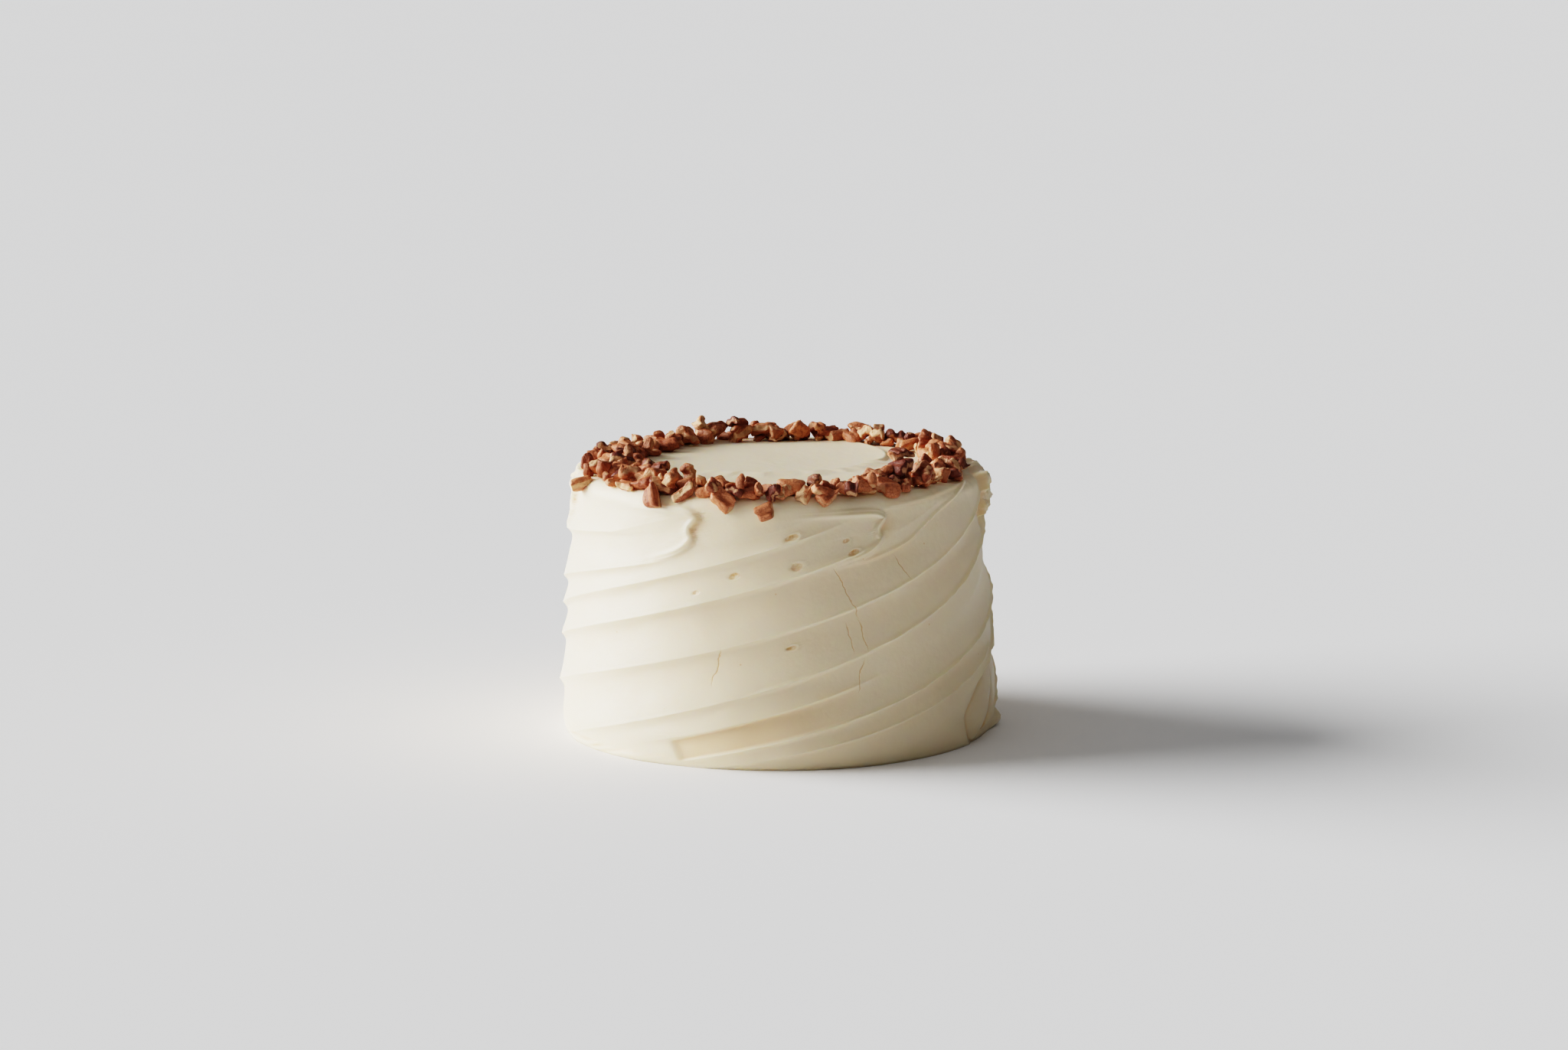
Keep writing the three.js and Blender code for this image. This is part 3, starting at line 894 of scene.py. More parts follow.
def paper_material():
    """Pale seamless paper."""
    material, tree, shader = new_material("studio_paper")
    place = tree.nodes.new("ShaderNodeTexCoord").outputs["Object"]
    pale = tuple(settings().studio.floor)
    shade = tuple(PAPER_SHADE * value for value in pale[:3]) + (1.0,)
    colour = mixed(noise(place, scale=1.3), pale, shade)
    set_inputs(shader, Base_Color=colour, Roughness=1.0, Specular_IOR_Level=0.0)
    return material


def sweep(climb):
    """The angle that a stroke reaches when it has climbed by the given height."""
    turn = climb / CLIMB_PER_DEGREE
    return turn + SWAY * (np.cos(np.radians(turn - SWAY_AT)) - math.cos(math.radians(SWAY_AT)))


def crest_angles(height):
    """The angles of all crests at each height, from right to left, and the first again a turn later."""
    angles = []
    for front, climb, knee, _, _, end in CRESTS:
        own = np.clip(height, knee, end)
        angle = sweep((own - front) / climb + height - own)
        if angles:
            angle = np.minimum(angle, angles[-1] - LEAST_GAP)
        angles.append(angle)
    angles.append(angles[0] - 360)
    return np.stack(angles, axis=-1)


def crest_strength(crest, height):
    """How strongly a crest shows at each height."""
    _, _, _, ridge, start, end = CRESTS[crest % len(CRESTS)]
    return ridge * window(
        height, start - FADE_HEIGHT, start + FADE_HEIGHT, end - FADE_HEIGHT, end + FADE_HEIGHT)


def crest_radius(height):
    """The cake's radius over its crests at each height."""
    side = lerp(BELLY_RADIUS, TOP_RADIUS, height / SHOULDER_START)
    return side - FOOT_TUCK * np.maximum(0, 1 - height / FOOT_HEIGHT) ** 2


def bring_near(close, near, shown, distance):
    """Note how close a form is at the places near it, where it shows."""
    close[near] = np.where(shown, np.minimum(close[near], distance), close[near])


def tongue_relief(angle, height):
    """How far the tongues stand out with lips and troughs, how strong the warm shade painted beside their
    tips is, and how close.
    """
    relief, warm = np.zeros((2, len(angle)))
    close = np.full(len(angle), np.inf)
    for middle, stretch, lift, lip, flat, trough, spread in TONGUES:
        line = [(run * stretch, rise + lift) for run, rise in TONGUE]
        near, away, along = near_line(angle, height, middle, line, TONGUE_BOX)
        strength = window(along, *TONGUE_ENDS)
        waist = bell(along, *TONGUE_WAIST)
        inside = lip * bell(away, -LIP_INSET, LIP_SPREAD) + flat * np.exp(away / FLAT_REACH)
        edge = lip * bell(0, -LIP_INSET, LIP_SPREAD) + flat
        dip = trough * lerp(LEAST_TROUGH, 1, waist) * np.exp(-away / TROUGH_REACH)
        dip *= 1 - bell(np.maximum(away, 0), 0, TROUGH_START)
        outside = edge * bell(away, 0, spread) - dip
        relief[near] += strength * np.where(away < 0, inside, outside)
        # Painted shade: a warm tan on the icing beside the tip, which goes into the crumb colour along with
        # the bare sponge
        shade = PAINTED_SHADE_STRENGTH * waist * bell(np.maximum(away - WARM_WIDTH, 0), 0, WARM_FADE)
        warm[near] = np.maximum(warm[near], strength * shade * smoothstep(away, *WARM_EDGE))
        bring_near(close, near, strength > TONGUE_SHOWS, np.abs(away + EDGE_INSET))
    return relief, warm, close


def fold_relief(angle, height):
    """How far the folds stand out, how bare the sponge is beside them, and how close a fold is."""
    relief, bare = np.zeros((2, len(angle)))
    close = np.full(len(angle), np.inf)
    for middle, (line, proud, drop) in itertools.product(FOLD_ANGLES, FOLDS):
        near, away, along = near_line(angle, height, middle, line, FOLD_BOX)
        strength = window(along, *FOLD_ENDS)
        right = np.maximum(away, 0)
        step = np.exp(-right / FOLD_REACH) * (1 - bell(right, 0, FOLD_START))
        relief[near] += strength * (proud * bell(away, 0, FOLD_BEAD) - drop * step)
        beside = FOLD_BARE * strength * bell(away, FOLD_BARE_AT, FOLD_BARE_AT)
        bare[near] = np.maximum(bare[near], beside)
        bring_near(close, near, strength > FORM_SHOWS, np.abs(away))
    return relief, bare, close


def flap_relief(angle, height):
    """How far the rough flap stands out, how much tan tints its edge, and how close that is."""
    turn = turned(angle, FLAP_ANGLE)
    edge = turn - FLAP_SLANT * (height - CAKE_HEIGHT)
    across = smoothstep(edge, 0, FLAP_RAMP) * (1 - smoothstep(turn, *FLAP_END))
    low = FLAP_LOW + waves(turn, FLAP_WAVES) + FLAP_SLANT * turn
    ramp = FLAP_RAMP + FLAP_WIDEN * np.maximum(turn, 0)
    upright = window(height, low, low + ramp, FLAP_TOP, FLAP_TOP + FLAP_FADE)
    notch = bell(height, low - NOTCH_BELOW, NOTCH_SPREAD) * across * (1 - smoothstep(turn, *NOTCH_END))
    bare = FLAP_TAN * bell(edge, FLAP_TAN_AT, FLAP_TAN_AT) * upright
    beside = np.maximum(np.abs(edge - 2) - 3, 0) * MM_PER_DEGREE
    below = np.where(edge < 14, np.abs(height - low), np.inf)
    close = np.minimum(np.where(height > FLAP_LOW - 3, beside, np.inf), np.where(edge > -1, below, np.inf))
    return FLAP_HEIGHT * across * upright - NOTCH_DEPTH * notch, bare, close


def pit_relief(angle, height):
    """How deep the pits are, how bare the sponge is in them, and how close a pit is."""
    relief, bare = np.zeros((2, len(angle)))
    close = np.full(len(angle), np.inf)
    slope = math.radians(PIT_SLOPE)
    ragged = PIT_RAGGED * grain(np.stack([angle * MM_PER_DEGREE, height, 0 * height], axis=-1), PIT_GRAIN, 15)
    for middle, level, length, width, deep in PITS:
        run = turned(angle, middle) * MM_PER_DEGREE
        rise = height - level
        along = (run * math.cos(slope) + rise * math.sin(slope)) / (0.5 * length)
        across = (rise * math.cos(slope) - run * math.sin(slope)) / (0.5 * width)
        distance = np.hypot(along, across) + ragged
        rim = bell(distance, *PIT_RIM_AT) * smoothstep(along, *PIT_RIM_FROM)
        relief += deep * (PIT_RIM * rim - PIT_DEPTH * (1 - smoothstep(distance, *PIT_WALL)))
        bare = np.maximum(bare, 1 - smoothstep(distance, *PIT_BARE))
        close = np.minimum(close, distance * 0.5 * width)
    return relief, bare, close


def foot_relief(angle, height):
    """Square and leaf-shaped starts of strokes, and the smear of icing along the foot."""
    turn = turned(angle, 0)
    start = SQUARE_HEIGHT + SQUARE_CLIMB * (turn - SQUARE_LEFT)
    slanted = turn - SQUARE_SLANT * (SQUARE_HEIGHT - height)
    end = SQUARE_LOW + SQUARE_LOW_CLIMB * turn
    square = smoothstep(slanted, *SQUARE_ENDS) * (1 - smoothstep(turn, *SQUARE_FADE))
    square = square * window(height, end - 0.5, end + 2.5, start - 1.6, start + 0.3)
    ledge = window(turn, *LEDGE_ENDS)
    top = LEDGE_HEIGHT + waves(turn, LEDGE_WAVES)
    relief = LEDGE_DEPTH * ledge * (1 - smoothstep(height, top - 1.2, top + 0.5)) - SQUARE_DEPTH * square
    blob = bell(turned(angle, BLOB_ANGLE), 0, BLOB_SPREAD) * (1 - smoothstep(height, *BLOB_HEIGHTS))
    relief += BLOB_DEPTH * blob
    bare = SQUARE_BARE * square + LEDGE_BARE * ledge * bell(height, top, 0.8)
    near, away, along = near_line(angle, height, LEAF_ANGLE, LEAF, LEAF_BOX)
    strength = window(along, *LEAF_ENDS)
    lobe = LEAF_HEIGHT * (1 - bell(away, 0, LEAF_ROUND)) * np.exp(np.minimum(away, 0) / LEAF_REACH)
    groove = sum(deep * bell(away, 0, spread) for deep, spread in (LEAF_GROOVE, LEAF_BANKS))
    relief[near] += strength * (np.where(away < 0, lobe, 0) - groove)
    line = lerp(*LEAF_BARE, smoothstep(along, *LEAF_BARE_FROM)) * strength * bell(away, 0, LEAF_BARE_SPREAD)
    bare[near] = np.maximum(bare[near], line)
    at_square = (np.abs(slanted - SQUARE_EDGE) < SQUARE_EDGE_HALF) & (height < SQUARE_EDGE_TOP)
    close = np.where(at_square, 1.0, np.inf)
    bring_near(close, near, ~at_square[near] & (strength > FORM_SHOWS), np.abs(away))
    return relief, bare, close


# Forms of the side that simply add up
SIDE_RELIEFS = (tongue_relief, fold_relief, pit_relief, foot_relief)


def worn_depth(points, angle, height):
    """How far the side and the shoulder are worn down at the right."""
    outer = smoothstep(np.hypot(points[:, 0], points[:, 1]), *WORN_RADII)
    depth = WORN_DEPTH * smoothstep(height, *WORN_HEIGHTS) + WORN_MORE * smoothstep(height, *WORN_SHOULDER)
    return depth * bell(turned(angle, WORN_ANGLE), 0, WORN_SPREAD) * outer


def top_relief(points):
    """How far the flat of the last round stroke stands out of the top, and how close its edge is."""
    away = np.hypot(points[:, 0] - SWIRL_MIDDLE[0], points[:, 1] - SWIRL_MIDDLE[1]) - SWIRL_RADIUS
    inside = SWIRL_STEP * np.exp(np.minimum(away, 0) / SWIRL_REACH) * (1 - smoothstep(away, *SWIRL_EDGE))
    ridge = SWIRL_RIDGE * bell(away, -RIDGE_INSET, RIDGE_INSET)
    shown = smoothstep(points[:, 0] - SWIRL_SLANT * points[:, 1], *SWIRL_SHOWN)
    radius = np.hypot(points[:, 0], points[:, 1])
    rim = 1 - smoothstep(radius, 0.8 * TOP_RADIUS, TOP_RADIUS - SHOULDER_RADIUS)
    close = np.where(shown > FORM_SHOWS, np.abs(away), np.inf)
    return (inside + ridge) * shown * rim, close


def side_grid(heights):
    """Angles, radii, depths of the hollows for the painted shade, and crest beads of the side's grid, whose
    columns follow the crests.
    """
    look = settings().icing
    crests = crest_angles(heights)
    widths = 0.5 * ((crests[0, :-1] - crests[0, 1:]) + (crests[-1, :-1] - crests[-1, 1:]))
    edges = np.round(np.concatenate([[0], np.cumsum(widths)]) / 360 * look.columns).astype(int)
    radius = crest_radius(heights)[:, None]
    fade = smoothstep(heights, -FOOT_HEIGHT / 2, FOOT_HEIGHT)[:, None]
    top = smoothstep(heights, SHOULDER_START - SHOULDER_FADE_HEIGHT, CAKE_HEIGHT)[:, None]
    fade = fade * (1 - SHOULDER_FADE * top)
    strokes = []
    for stroke in range(len(CRESTS)):
        share = np.arange(edges[stroke + 1] - edges[stroke]) / (edges[stroke + 1] - edges[stroke])
        share = (share - COLUMN_CROWD * np.sin(2 * np.pi * share) / (2 * np.pi))[None, :]
        right = crest_strength(stroke, heights)[:, None]
        left = crest_strength(stroke + 1, heights)[:, None]
        width = ((crests[:, stroke] - crests[:, stroke + 1]) * CLIMB_PER_DEGREE)[:, None]
        below = (1 - share) * width
        angle = lerp(crests[:, stroke, None], crests[:, stroke + 1, None], share)
        drawn = around(angle, radius, heights[:, None]).reshape(-1, 3)
        soft = lerp(SOFT_CREST, CRISP_CREST, beyond(angle, *CRISP_FROM))
        soft = soft * (1 + 0.5 * grain(drawn, 40, 6)).reshape(angle.shape)
        step = np.minimum(STEP_SHARE * width, DEEPEST_STEP) * share**STEP_BEND
        step = step * (1 - bell(below, 0, soft)) * left
        skewed = share**DISH_SKEW
        dish = np.minimum(DISH_SHARE * width, DEEPEST_DISH) * 4 * skewed * (1 - skewed)
        dish = dish * lerp(LEAST_DISH, 1, np.minimum(right, left))
        step = (step + dish) * lerp(FLAT_SIDE, DEEP_SIDE, beyond(angle, *DEEP_FROM))
        sink = lerp(MERGE_DEPTH * (1 - right), MERGE_DEPTH * (1 - left), share) + step
        bead = np.maximum(right * bell(share * width, 0, RIGHT_BEAD), left * bell(below, 0, LEFT_BEAD))
        proud = lerp(LEAST_BEAD, 1, beyond(angle, *PROUD_FROM))
        # How deep a place lies in the dish and step, kept for the shade painted there
        hollow_shade = step / (DEEPEST_STEP + DEEPEST_DISH)
        strokes.append((angle, radius - fade * sink, hollow_shade, fade * bead * proud))
    return [np.concatenate(part, axis=1) for part in zip(*strokes)]


def icing_rings():
    """Rings of points in millimetres from the foot's middle to the top's, with the depths of their hollows
    for the painted shade, and their beads.
    """
    heights = SHOULDER_START * np.linspace(0, 1, settings().icing.side_rows) ** ROW_BEND
    angles, radii, hollows, beads = side_grid(heights)
    turns = np.radians(np.linspace(0, 90, SHOULDER_ROWS))[1:, None]
    shoulder = around(angles[-1], radii[-1] - SHOULDER_RADIUS * (1 - np.cos(turns)), SHOULDER_START)
    shoulder[..., 2] += SHOULDER_RADIUS * np.sin(turns)
    side = np.concatenate([around(angles, radii, heights[:, None]), shoulder])
    hollows = np.concatenate([hollows, hollows[-1] * np.cos(turns)])
    beads = np.concatenate([beads, beads[-1] * np.cos(turns)])
    rim = side[-1]
    round_rim = around(angles[-1], np.hypot(rim[:, 0], rim[:, 1]).mean(), CAKE_HEIGHT)
    shares = np.linspace(1, 0, TOP_ROWS)[1:-1, None, None]
    inward = np.append(np.repeat(shares, 2, axis=2), np.ones_like(shares), axis=2)
    top = lerp(round_rim, rim, shares**RIM_BEND) * inward
    foot = side[:1] * np.array(FOOT_RINGS)[:, None, None]
    middle = np.zeros((1, *rim.shape))
    rings = np.concatenate([middle, foot, side, top, middle + (0, 0, CAKE_HEIGHT)])
    pad = ((1 + len(foot), len(top) + 1), (0, 0))
    return rings, np.pad(hollows, pad), np.pad(beads, pad)


def round_places(points):
    """Angle, height along the side and over the shoulder, and lean of the surface, at points of the icing."""
    angle = np.degrees(np.arctan2(points[:, 0], -points[:, 1]))
    lean = np.arcsin(np.clip((points[:, 2] - SHOULDER_START) / SHOULDER_RADIUS, 0, 1))
    return angle, np.minimum(points[:, 2], SHOULDER_START) + SHOULDER_RADIUS * lean, lean


def refine(piece, reach):
    """Subdivide the faces within reach of a tongue's edge, a fold, a pit or the start of a stroke."""
    centres = np.empty(3 * len(piece.data.polygons))
    piece.data.polygons.foreach_get("center", centres)
    centres = centres.reshape(-1, 3) / MM
    angle, height, lean = round_places(centres)
    close = np.minimum.reduce([form(angle, height)[-1] for form in (*SIDE_RELIEFS, flap_relief)])
    close[np.abs(turned(angle, 0)) > FINE_HALF] = np.inf
    close = np.where(lean > FLAT_LEAN, top_relief(centres)[1], close)
    close[np.hypot(centres[:, 0], centres[:, 1]) < BELLY_RADIUS / 2] = np.inf
    bpy.ops.object.mode_set(mode="EDIT")
    bpy.context.tool_settings.mesh_select_mode = (False, False, True)
    bpy.ops.mesh.select_all(action="DESELECT")
    bpy.ops.object.mode_set(mode="OBJECT")
    piece.data.polygons.foreach_set("select", close < reach)
    bpy.ops.object.mode_set(mode="EDIT")
    bpy.ops.mesh.subdivide(number_cuts=1, ngon=False)
    bpy.context.tool_settings.mesh_select_mode = (True, False, False)
    bpy.ops.object.mode_set(mode="OBJECT")


def relieve(piece):
    """Push the icing in and out by all its fine forms and store its tan tints: where the sponge shows, the
    flap's edge, and the warm shade painted beside the tongues.
    """
    look = settings().icing
    points, _ = mesh_arrays(piece.data)
    angle, height, lean = round_places(points)
    reliefs, bares_and_shade, _ = zip(*(form(angle, height) for form in SIDE_RELIEFS))
    flap, flap_tan, _ = flap_relief(angle, height)
    relief = sum(reliefs)
    relief += flap * (1 + grains(points, *FLAP_GRAINS))
    calm = lerp(1, TOP_CALM, lean / (math.pi / 2))
    relief += look.unevenness / MM * calm * grains(points, *UNEVEN_GRAINS)
    ruffled = lerp(0.5, 1, window(lean, *RUFFLED_LEANS))
    relief += ruffled * grains(points, *RUFFLE_GRAINS) * (lean < FLAT_LEAN)
    nicks = 1 + grains(points, *NICK_GRAINS)
    relief += look.bead / MM * stored(piece.data, "bead") * nicks
    relief -= worn_depth(points, angle, height)
    relief *= smoothstep(height, *FOOT_FADE)
    # The underside stays flat
    relief[(np.hypot(points[:, 0], points[:, 1]) < UNDERSIDE_RADIUS) & (points[:, 2] < 1)] = 0
    relief += np.where(lean > FLAT_LEAN, top_relief(points)[0], 0)
    place_points(piece.data, points + relief[:, None] * around(angle, np.cos(lean), np.sin(lean)))
    store(piece.data, "bare", np.maximum.reduce([*bares_and_shade, flap_tan]))


class CAKE_OT_ice(bpy.types.Operator):
    """Wrap a grid round the cake as its coat of icing, with strokes, crests, tongues, folds and pits"""

    bl_idname = "cake.ice"
    bl_label = "Ice the cake"

    def execute(self, context):
        rings, hollow_shade, bead = icing_rings()
        rows, columns = rings.shape[:2]
        bpy.ops.object.select_all(action="DESELECT")
        bpy.ops.mesh.primitive_grid_add(x_subdivisions=columns, y_subdivisions=rows - 1, size=1)
        piece = context.object
        piece.name = "cream_cheese_icing"
        wrap = np.arange(columns + 1) % columns
        place_points(piece.data, rings[:, wrap])
        store(piece.data, "hollow_shade", hollow_shade[:, wrap].ravel())
        store(piece.data, "bead", bead[:, wrap].ravel())
        bpy.ops.object.mode_set(mode="EDIT")
        bpy.ops.mesh.select_all(action="SELECT")
        bpy.ops.mesh.remove_doubles(threshold=MERGE_DISTANCE * MM)
        bpy.ops.mesh.normals_make_consistent(inside=False)
        bpy.ops.object.mode_set(mode="OBJECT")
        for reach in FINE_REACHES:
            refine(piece, reach)
        relieve(piece)
        bpy.ops.object.shade_smooth()
        dress(piece, icing_material(), "icing", "iced_cake")
        return {"FINISHED"}


def pecan_half():
    """Model one pecan half lying along X: a long body with two grooves on its back and a channel below."""
    look = settings().pecans
    bpy.ops.object.select_all(action="DESELECT")
    bpy.ops.mesh.primitive_uv_sphere_add(segments=56, ring_count=36, radius=1, rotation=(0, math.pi / 2, 0))
    bpy.ops.object.transform_apply(rotation=True)
    half = bpy.context.object
    fixed_order(half.data)
    radii = (look.half_length / 2, look.half_width / 2, look.half_thickness / 2)
    points = mesh_points(half.data) * radii / MM
    taper = np.sqrt(np.clip(1 - (points[:, 0] / TAPER_LENGTH) ** 2, 0, 1))
    back = smoothstep(points[:, 2], -0.5, 2)
    points[:, 2] -= GROOVE_DEPTH * bell(np.abs(points[:, 1]), GROOVE_AT, GROOVE_SPREAD) * back * taper
    channel = CHANNEL_DEPTH * bell(points[:, 1], 0, CHANNEL_SPREAD) * taper
    points[:, 2] += (channel - BELLY_FLAT * points[:, 2]) * (1 - back)
    wrinkles = grain(points * (0.4, 1, 1), 2.4, 11) * 0.8 + grain(points, 4.5, 12) * 0.8
    points *= (1 + wrinkles / 9)[:, None]
    place_points(half.data, points)
    return half


def chopping_planes(cut, length):
    """The planes that chop a piece out of a half: across both ends, mostly along a side, some aslant."""
    middle = draw(cut, 41, -6, 6)
    planes = []
    for end in (-1, 1):
        normal = (end, draw(cut, 42 + end, -0.45, 0.45), draw(cut, 45 + end, -0.4, 0.4))
        planes.append(((middle + end * length / 2, 0, 0), normal))
    if draw(cut, 48) < SPLIT_SHARE:
        side = 1 if draw(cut, 49) < 0.5 else -1
        normal = (draw(cut, 50, -0.4, 0.4), side, draw(cut, 51, -0.5, 0.5))
        planes.append(((middle, side * draw(cut, 52, 0.5, 3.5), 0), normal))
    if draw(cut, 53) < SLICED_SHARE:
        normal = (draw(cut, 54, -0.7, 0.7), draw(cut, 55, -0.5, 0.5), -1)
        planes.append(((middle, 0, draw(cut, 56, -2.5, -1)), normal))
    return planes


def lumps(points, cut):
    """How far the lumps of a piece stand out, from about -1 to 1."""
    return grains(points, (0.65, 4.2, cut + 70), (0.35, 2.1, cut + 80))


def skin_depth(half, points):
    """How far below the half's skin each point lies, in millimetres."""
    tree = BVHTree.FromPolygons([v.co for v in half.data.vertices], [p.vertices for p in half.data.polygons])
    return np.array([tree.find_nearest(Vector(point * MM))[3] / MM for point in points])


def roughen(piece, cut, depth, rough):
    """Push a piece in and out by its lumps, more where it is broken."""
    points, _ = mesh_arrays(piece.data)
    normals = np.empty(3 * len(points))
    piece.data.vertices.foreach_get("normal", normals)
    broken = smoothstep(depth, *BROKEN_DEPTH)
    push = lerp(1.1, 2.6, broken) * lumps(points, cut)
    push += lerp(0.1, 0.35, broken) * grain(points, 1.4, cut + 50)
    push *= rough * min(1, np.ptp(points, axis=0).max() / PECAN_LENGTH)
    place_points(piece.data, points + push[:, None] * normals.reshape(-1, 3))


def pecan_cut(half, cut, planes, faces, rough=1.0):
    """Chop one piece out of a copy of the half, round and roughen it, and return it as arrays."""
    pick(half)
    bpy.ops.object.duplicate()
    piece = bpy.context.object
    for point, normal in planes:
        bpy.ops.object.mode_set(mode="EDIT")
        bpy.ops.mesh.select_all(action="SELECT")
        bpy.ops.mesh.bisect(
            plane_co=[value * MM for value in point], plane_no=normal, use_fill=True, clear_outer=True)
        bpy.ops.object.mode_set(mode="OBJECT")
        fixed_order(piece.data)
    apply_modifier(piece, "REMESH", mode="VOXEL", voxel_size=VOXEL * MM)
    fixed_order(piece.data)
    apply_modifier(piece, "SMOOTH", factor=0.5, iterations=ROUND_PASSES)
    depth = skin_depth(half, mesh_arrays(piece.data)[0])
    roughen(piece, cut, depth, rough)
    apply_modifier(piece, "SMOOTH", factor=0.5, iterations=SOFT_PASSES)
    store(piece.data, "depth", depth)
    # Where the lumps dip, for the shade that the material paints into the creases
    store(piece.data, "crease_shade", smoothstep(-lumps(mesh_arrays(piece.data)[0], cut), 0.0, 1.0))
    apply_modifier(piece, "DECIMATE", ratio=min(1, faces / (2 * len(piece.data.polygons))))
    points, triangles = mesh_arrays(piece.data)
    skin = 1 - smoothstep(stored(piece.data, "depth"), *SKIN_DEPTH)
    crease_shade = stored(piece.data, "crease_shade")
    remove(piece)
    middle = (points.min(axis=0) + points.max(axis=0)) / 2
    return {"points": points - middle, "triangles": triangles, "skin": skin, "crease_shade": crease_shade, "nut": points}


def pecan_cuts():
    """All chopped shapes: larger pieces and small bits."""
    half = pecan_half()
    groups = []
    numbers = itertools.count()
    for count, shortest, longest, faces in CUT_GROUPS:
        group = []
        for cut in itertools.islice(numbers, count):
            planes = chopping_planes(cut, draw(cut, 60, shortest, longest))
            group.append(pecan_cut(half, cut, planes, faces))
        groups.append(group)
    remove(half)
    return groups


def ring_inner(angle):
    """The ring's inner radius at an angle."""
    narrow = RING_FRONT_NARROW * math.exp(-((turned(angle, RING_FRONT_AT) / RING_FRONT_SPREAD) ** 2))
    return RING_INNER + RING_SWAY * math.cos(math.radians(angle - RING_NARROW_AT)) + narrow


def ring_shift(angle):
    """How far the pieces lie further out than the solids' lumps: out in front, in at the sides."""
    front = math.cos(math.radians(angle + RING_FRONT_TURN))
    shift = lerp(-RING_SIDE_PINCH, RING_FRONT_SHIFT, max(front, 0) ** RING_FRONT_BEND)
    return shift + RING_SIDE_PINCH * smoothstep(-front, 0, 0.8)


def push_away(places, others, space):
    """How far each place is pushed by the others that are nearer than the space."""
    away = places[:, None] - others[None]
    distance = np.hypot(away[..., 0], away[..., 1])
    push = np.where((distance > 0) & (distance < space), PUSH_SHARE * (space - distance), 0)
    share = push / np.maximum(distance, 1e-9)
    return (share[..., None] * away).sum(axis=1)


def lower_places():
    """Even places over the ring's lower layer, pushed apart as in the solids, as angles and radii."""
    places = []
    innermost = RING_INNER - RING_SWAY
    candidate = 0
    while len(places) < LOWER_PECANS:
        angle = candidate * GOLDEN_ANGLE
        share = candidate * GOLDEN_SHARE % 1
        radius = math.sqrt(lerp(innermost**2, RING_OUTER**2, share))
        if radius > ring_inner(angle):
            places.append(around(angle, radius, 0)[:2])
        candidate += 1
    places = np.array(places)
    strays = np.array([around(angle, radius, 0)[:2] for _, angle, radius, *_ in STRAYS])
    for _ in range(SPREAD_PASSES):
        places = places + push_away(places, places, PECAN_SPACE) + push_away(places, strays, STRAY_SPACE)
        angles = np.degrees(np.arctan2(places[:, 0], -places[:, 1]))
        inner = np.array([ring_inner(angle) for angle in angles])
        radii = np.clip(np.hypot(places[:, 0], places[:, 1]), inner, RING_OUTER)
        places = around(angles, radii, 0)[:, :2]
    return list(zip(angles, radii))


def upper_places():
    """Places of the second layer, along the middle of the ring in some sectors, as angles and radii."""
    places = []
    for first, last, count in UPPER_SECTORS:
        for piece in range(count):
            angle = lerp(first, last, (piece + draw(len(places), 90)) / count)
            radius = lerp(ring_inner(angle), RING_OUTER, draw(len(places), 91, *UPPER_SPAN))
            places.append((angle, radius))
    return places


class Heap:
    """The top of what lies on the cake so far, as heights over small cells."""

    CELL = 0.8
    REACH = 145.0
    RING_MIDDLE = RING_INNER + 8
    RING_HALF = 32.0

    def __init__(self, icing):
        axis = np.arange(-self.REACH, self.REACH, self.CELL)
        self.icing = np.full((len(axis), len(axis)), SHOULDER_START)
        tree = BVHTree.FromObject(icing, bpy.context.evaluated_depsgraph_get())
        down = Vector((0, 0, -1))
        across, inward = np.meshgrid(axis, axis)
        for row, column in np.argwhere(np.abs(np.hypot(across, inward) - self.RING_MIDDLE) < self.RING_HALF):
            place = Vector((axis[column] * MM, axis[row] * MM, 2 * CAKE_HEIGHT * MM))
            hit = tree.ray_cast(place, down)[0]
            if hit:
                self.icing[row, column] = hit.z / MM
        self.heights = self.icing.copy()

    def settle_lowest(self, points, tries, sunk, on_icing=False):
        """Lower a lump at the place of several where it comes to lie lowest.

        At each it sinks until the given percentage of its points is inside what lies there, or in the icing.
        """
        below = self.icing if on_icing else self.heights
        best = None
        for angle, radius in tries:
            moved = points + around(angle, radius, 0)
            cells = tuple(((moved[:, k] + self.REACH) / self.CELL).astype(int) for k in (1, 0))
            level = np.percentile(below[cells] - points[:, 2], 100 - sunk)
            if best is None or level < best[0]:
                best = (level, moved + (0, 0, level), cells)
        np.maximum.at(self.heights, best[2], best[1][:, 2])
        return best[1]


class Pile:
    """Lumps joined into one mesh, with the values that their material reads."""

    def __init__(self):
        self.count = 0
        self.points, self.triangles = [], []
        self.looks = {"skin": [], "crease_shade": [], "nut": [], "tint": []}

    def add(self, cut, points, tint):
        """Add a piece of the given shape, with its points in place and a tint of its own."""
        self.triangles.append(cut["triangles"] + self.count)
        self.points.append(points)
        self.count += len(points)
        shifted = cut["nut"] * MM + TINT_SHIFT * tint
        values = (cut["skin"], cut["crease_shade"], shifted, np.full(len(points), tint))
        for look, value in zip(self.looks.values(), values):
            look.append(value)

    def finish(self, name):
        """Join the lumps into one object."""
        mesh = bpy.data.meshes.new(name)
        mesh.from_pydata(np.concatenate(self.points) * MM, [], np.concatenate(self.triangles).tolist())
        for look, values in self.looks.items():
            store(mesh, look, np.concatenate(values))
        piece = bpy.data.objects.new(name, mesh)
        bpy.context.scene.collection.objects.link(piece)
        pick(piece)
        bpy.ops.object.shade_smooth()
        return piece


def pecan_finish():
    """The pecans' material, made once."""
    return bpy.data.materials.get("chopped_pecan") or pecan_material()


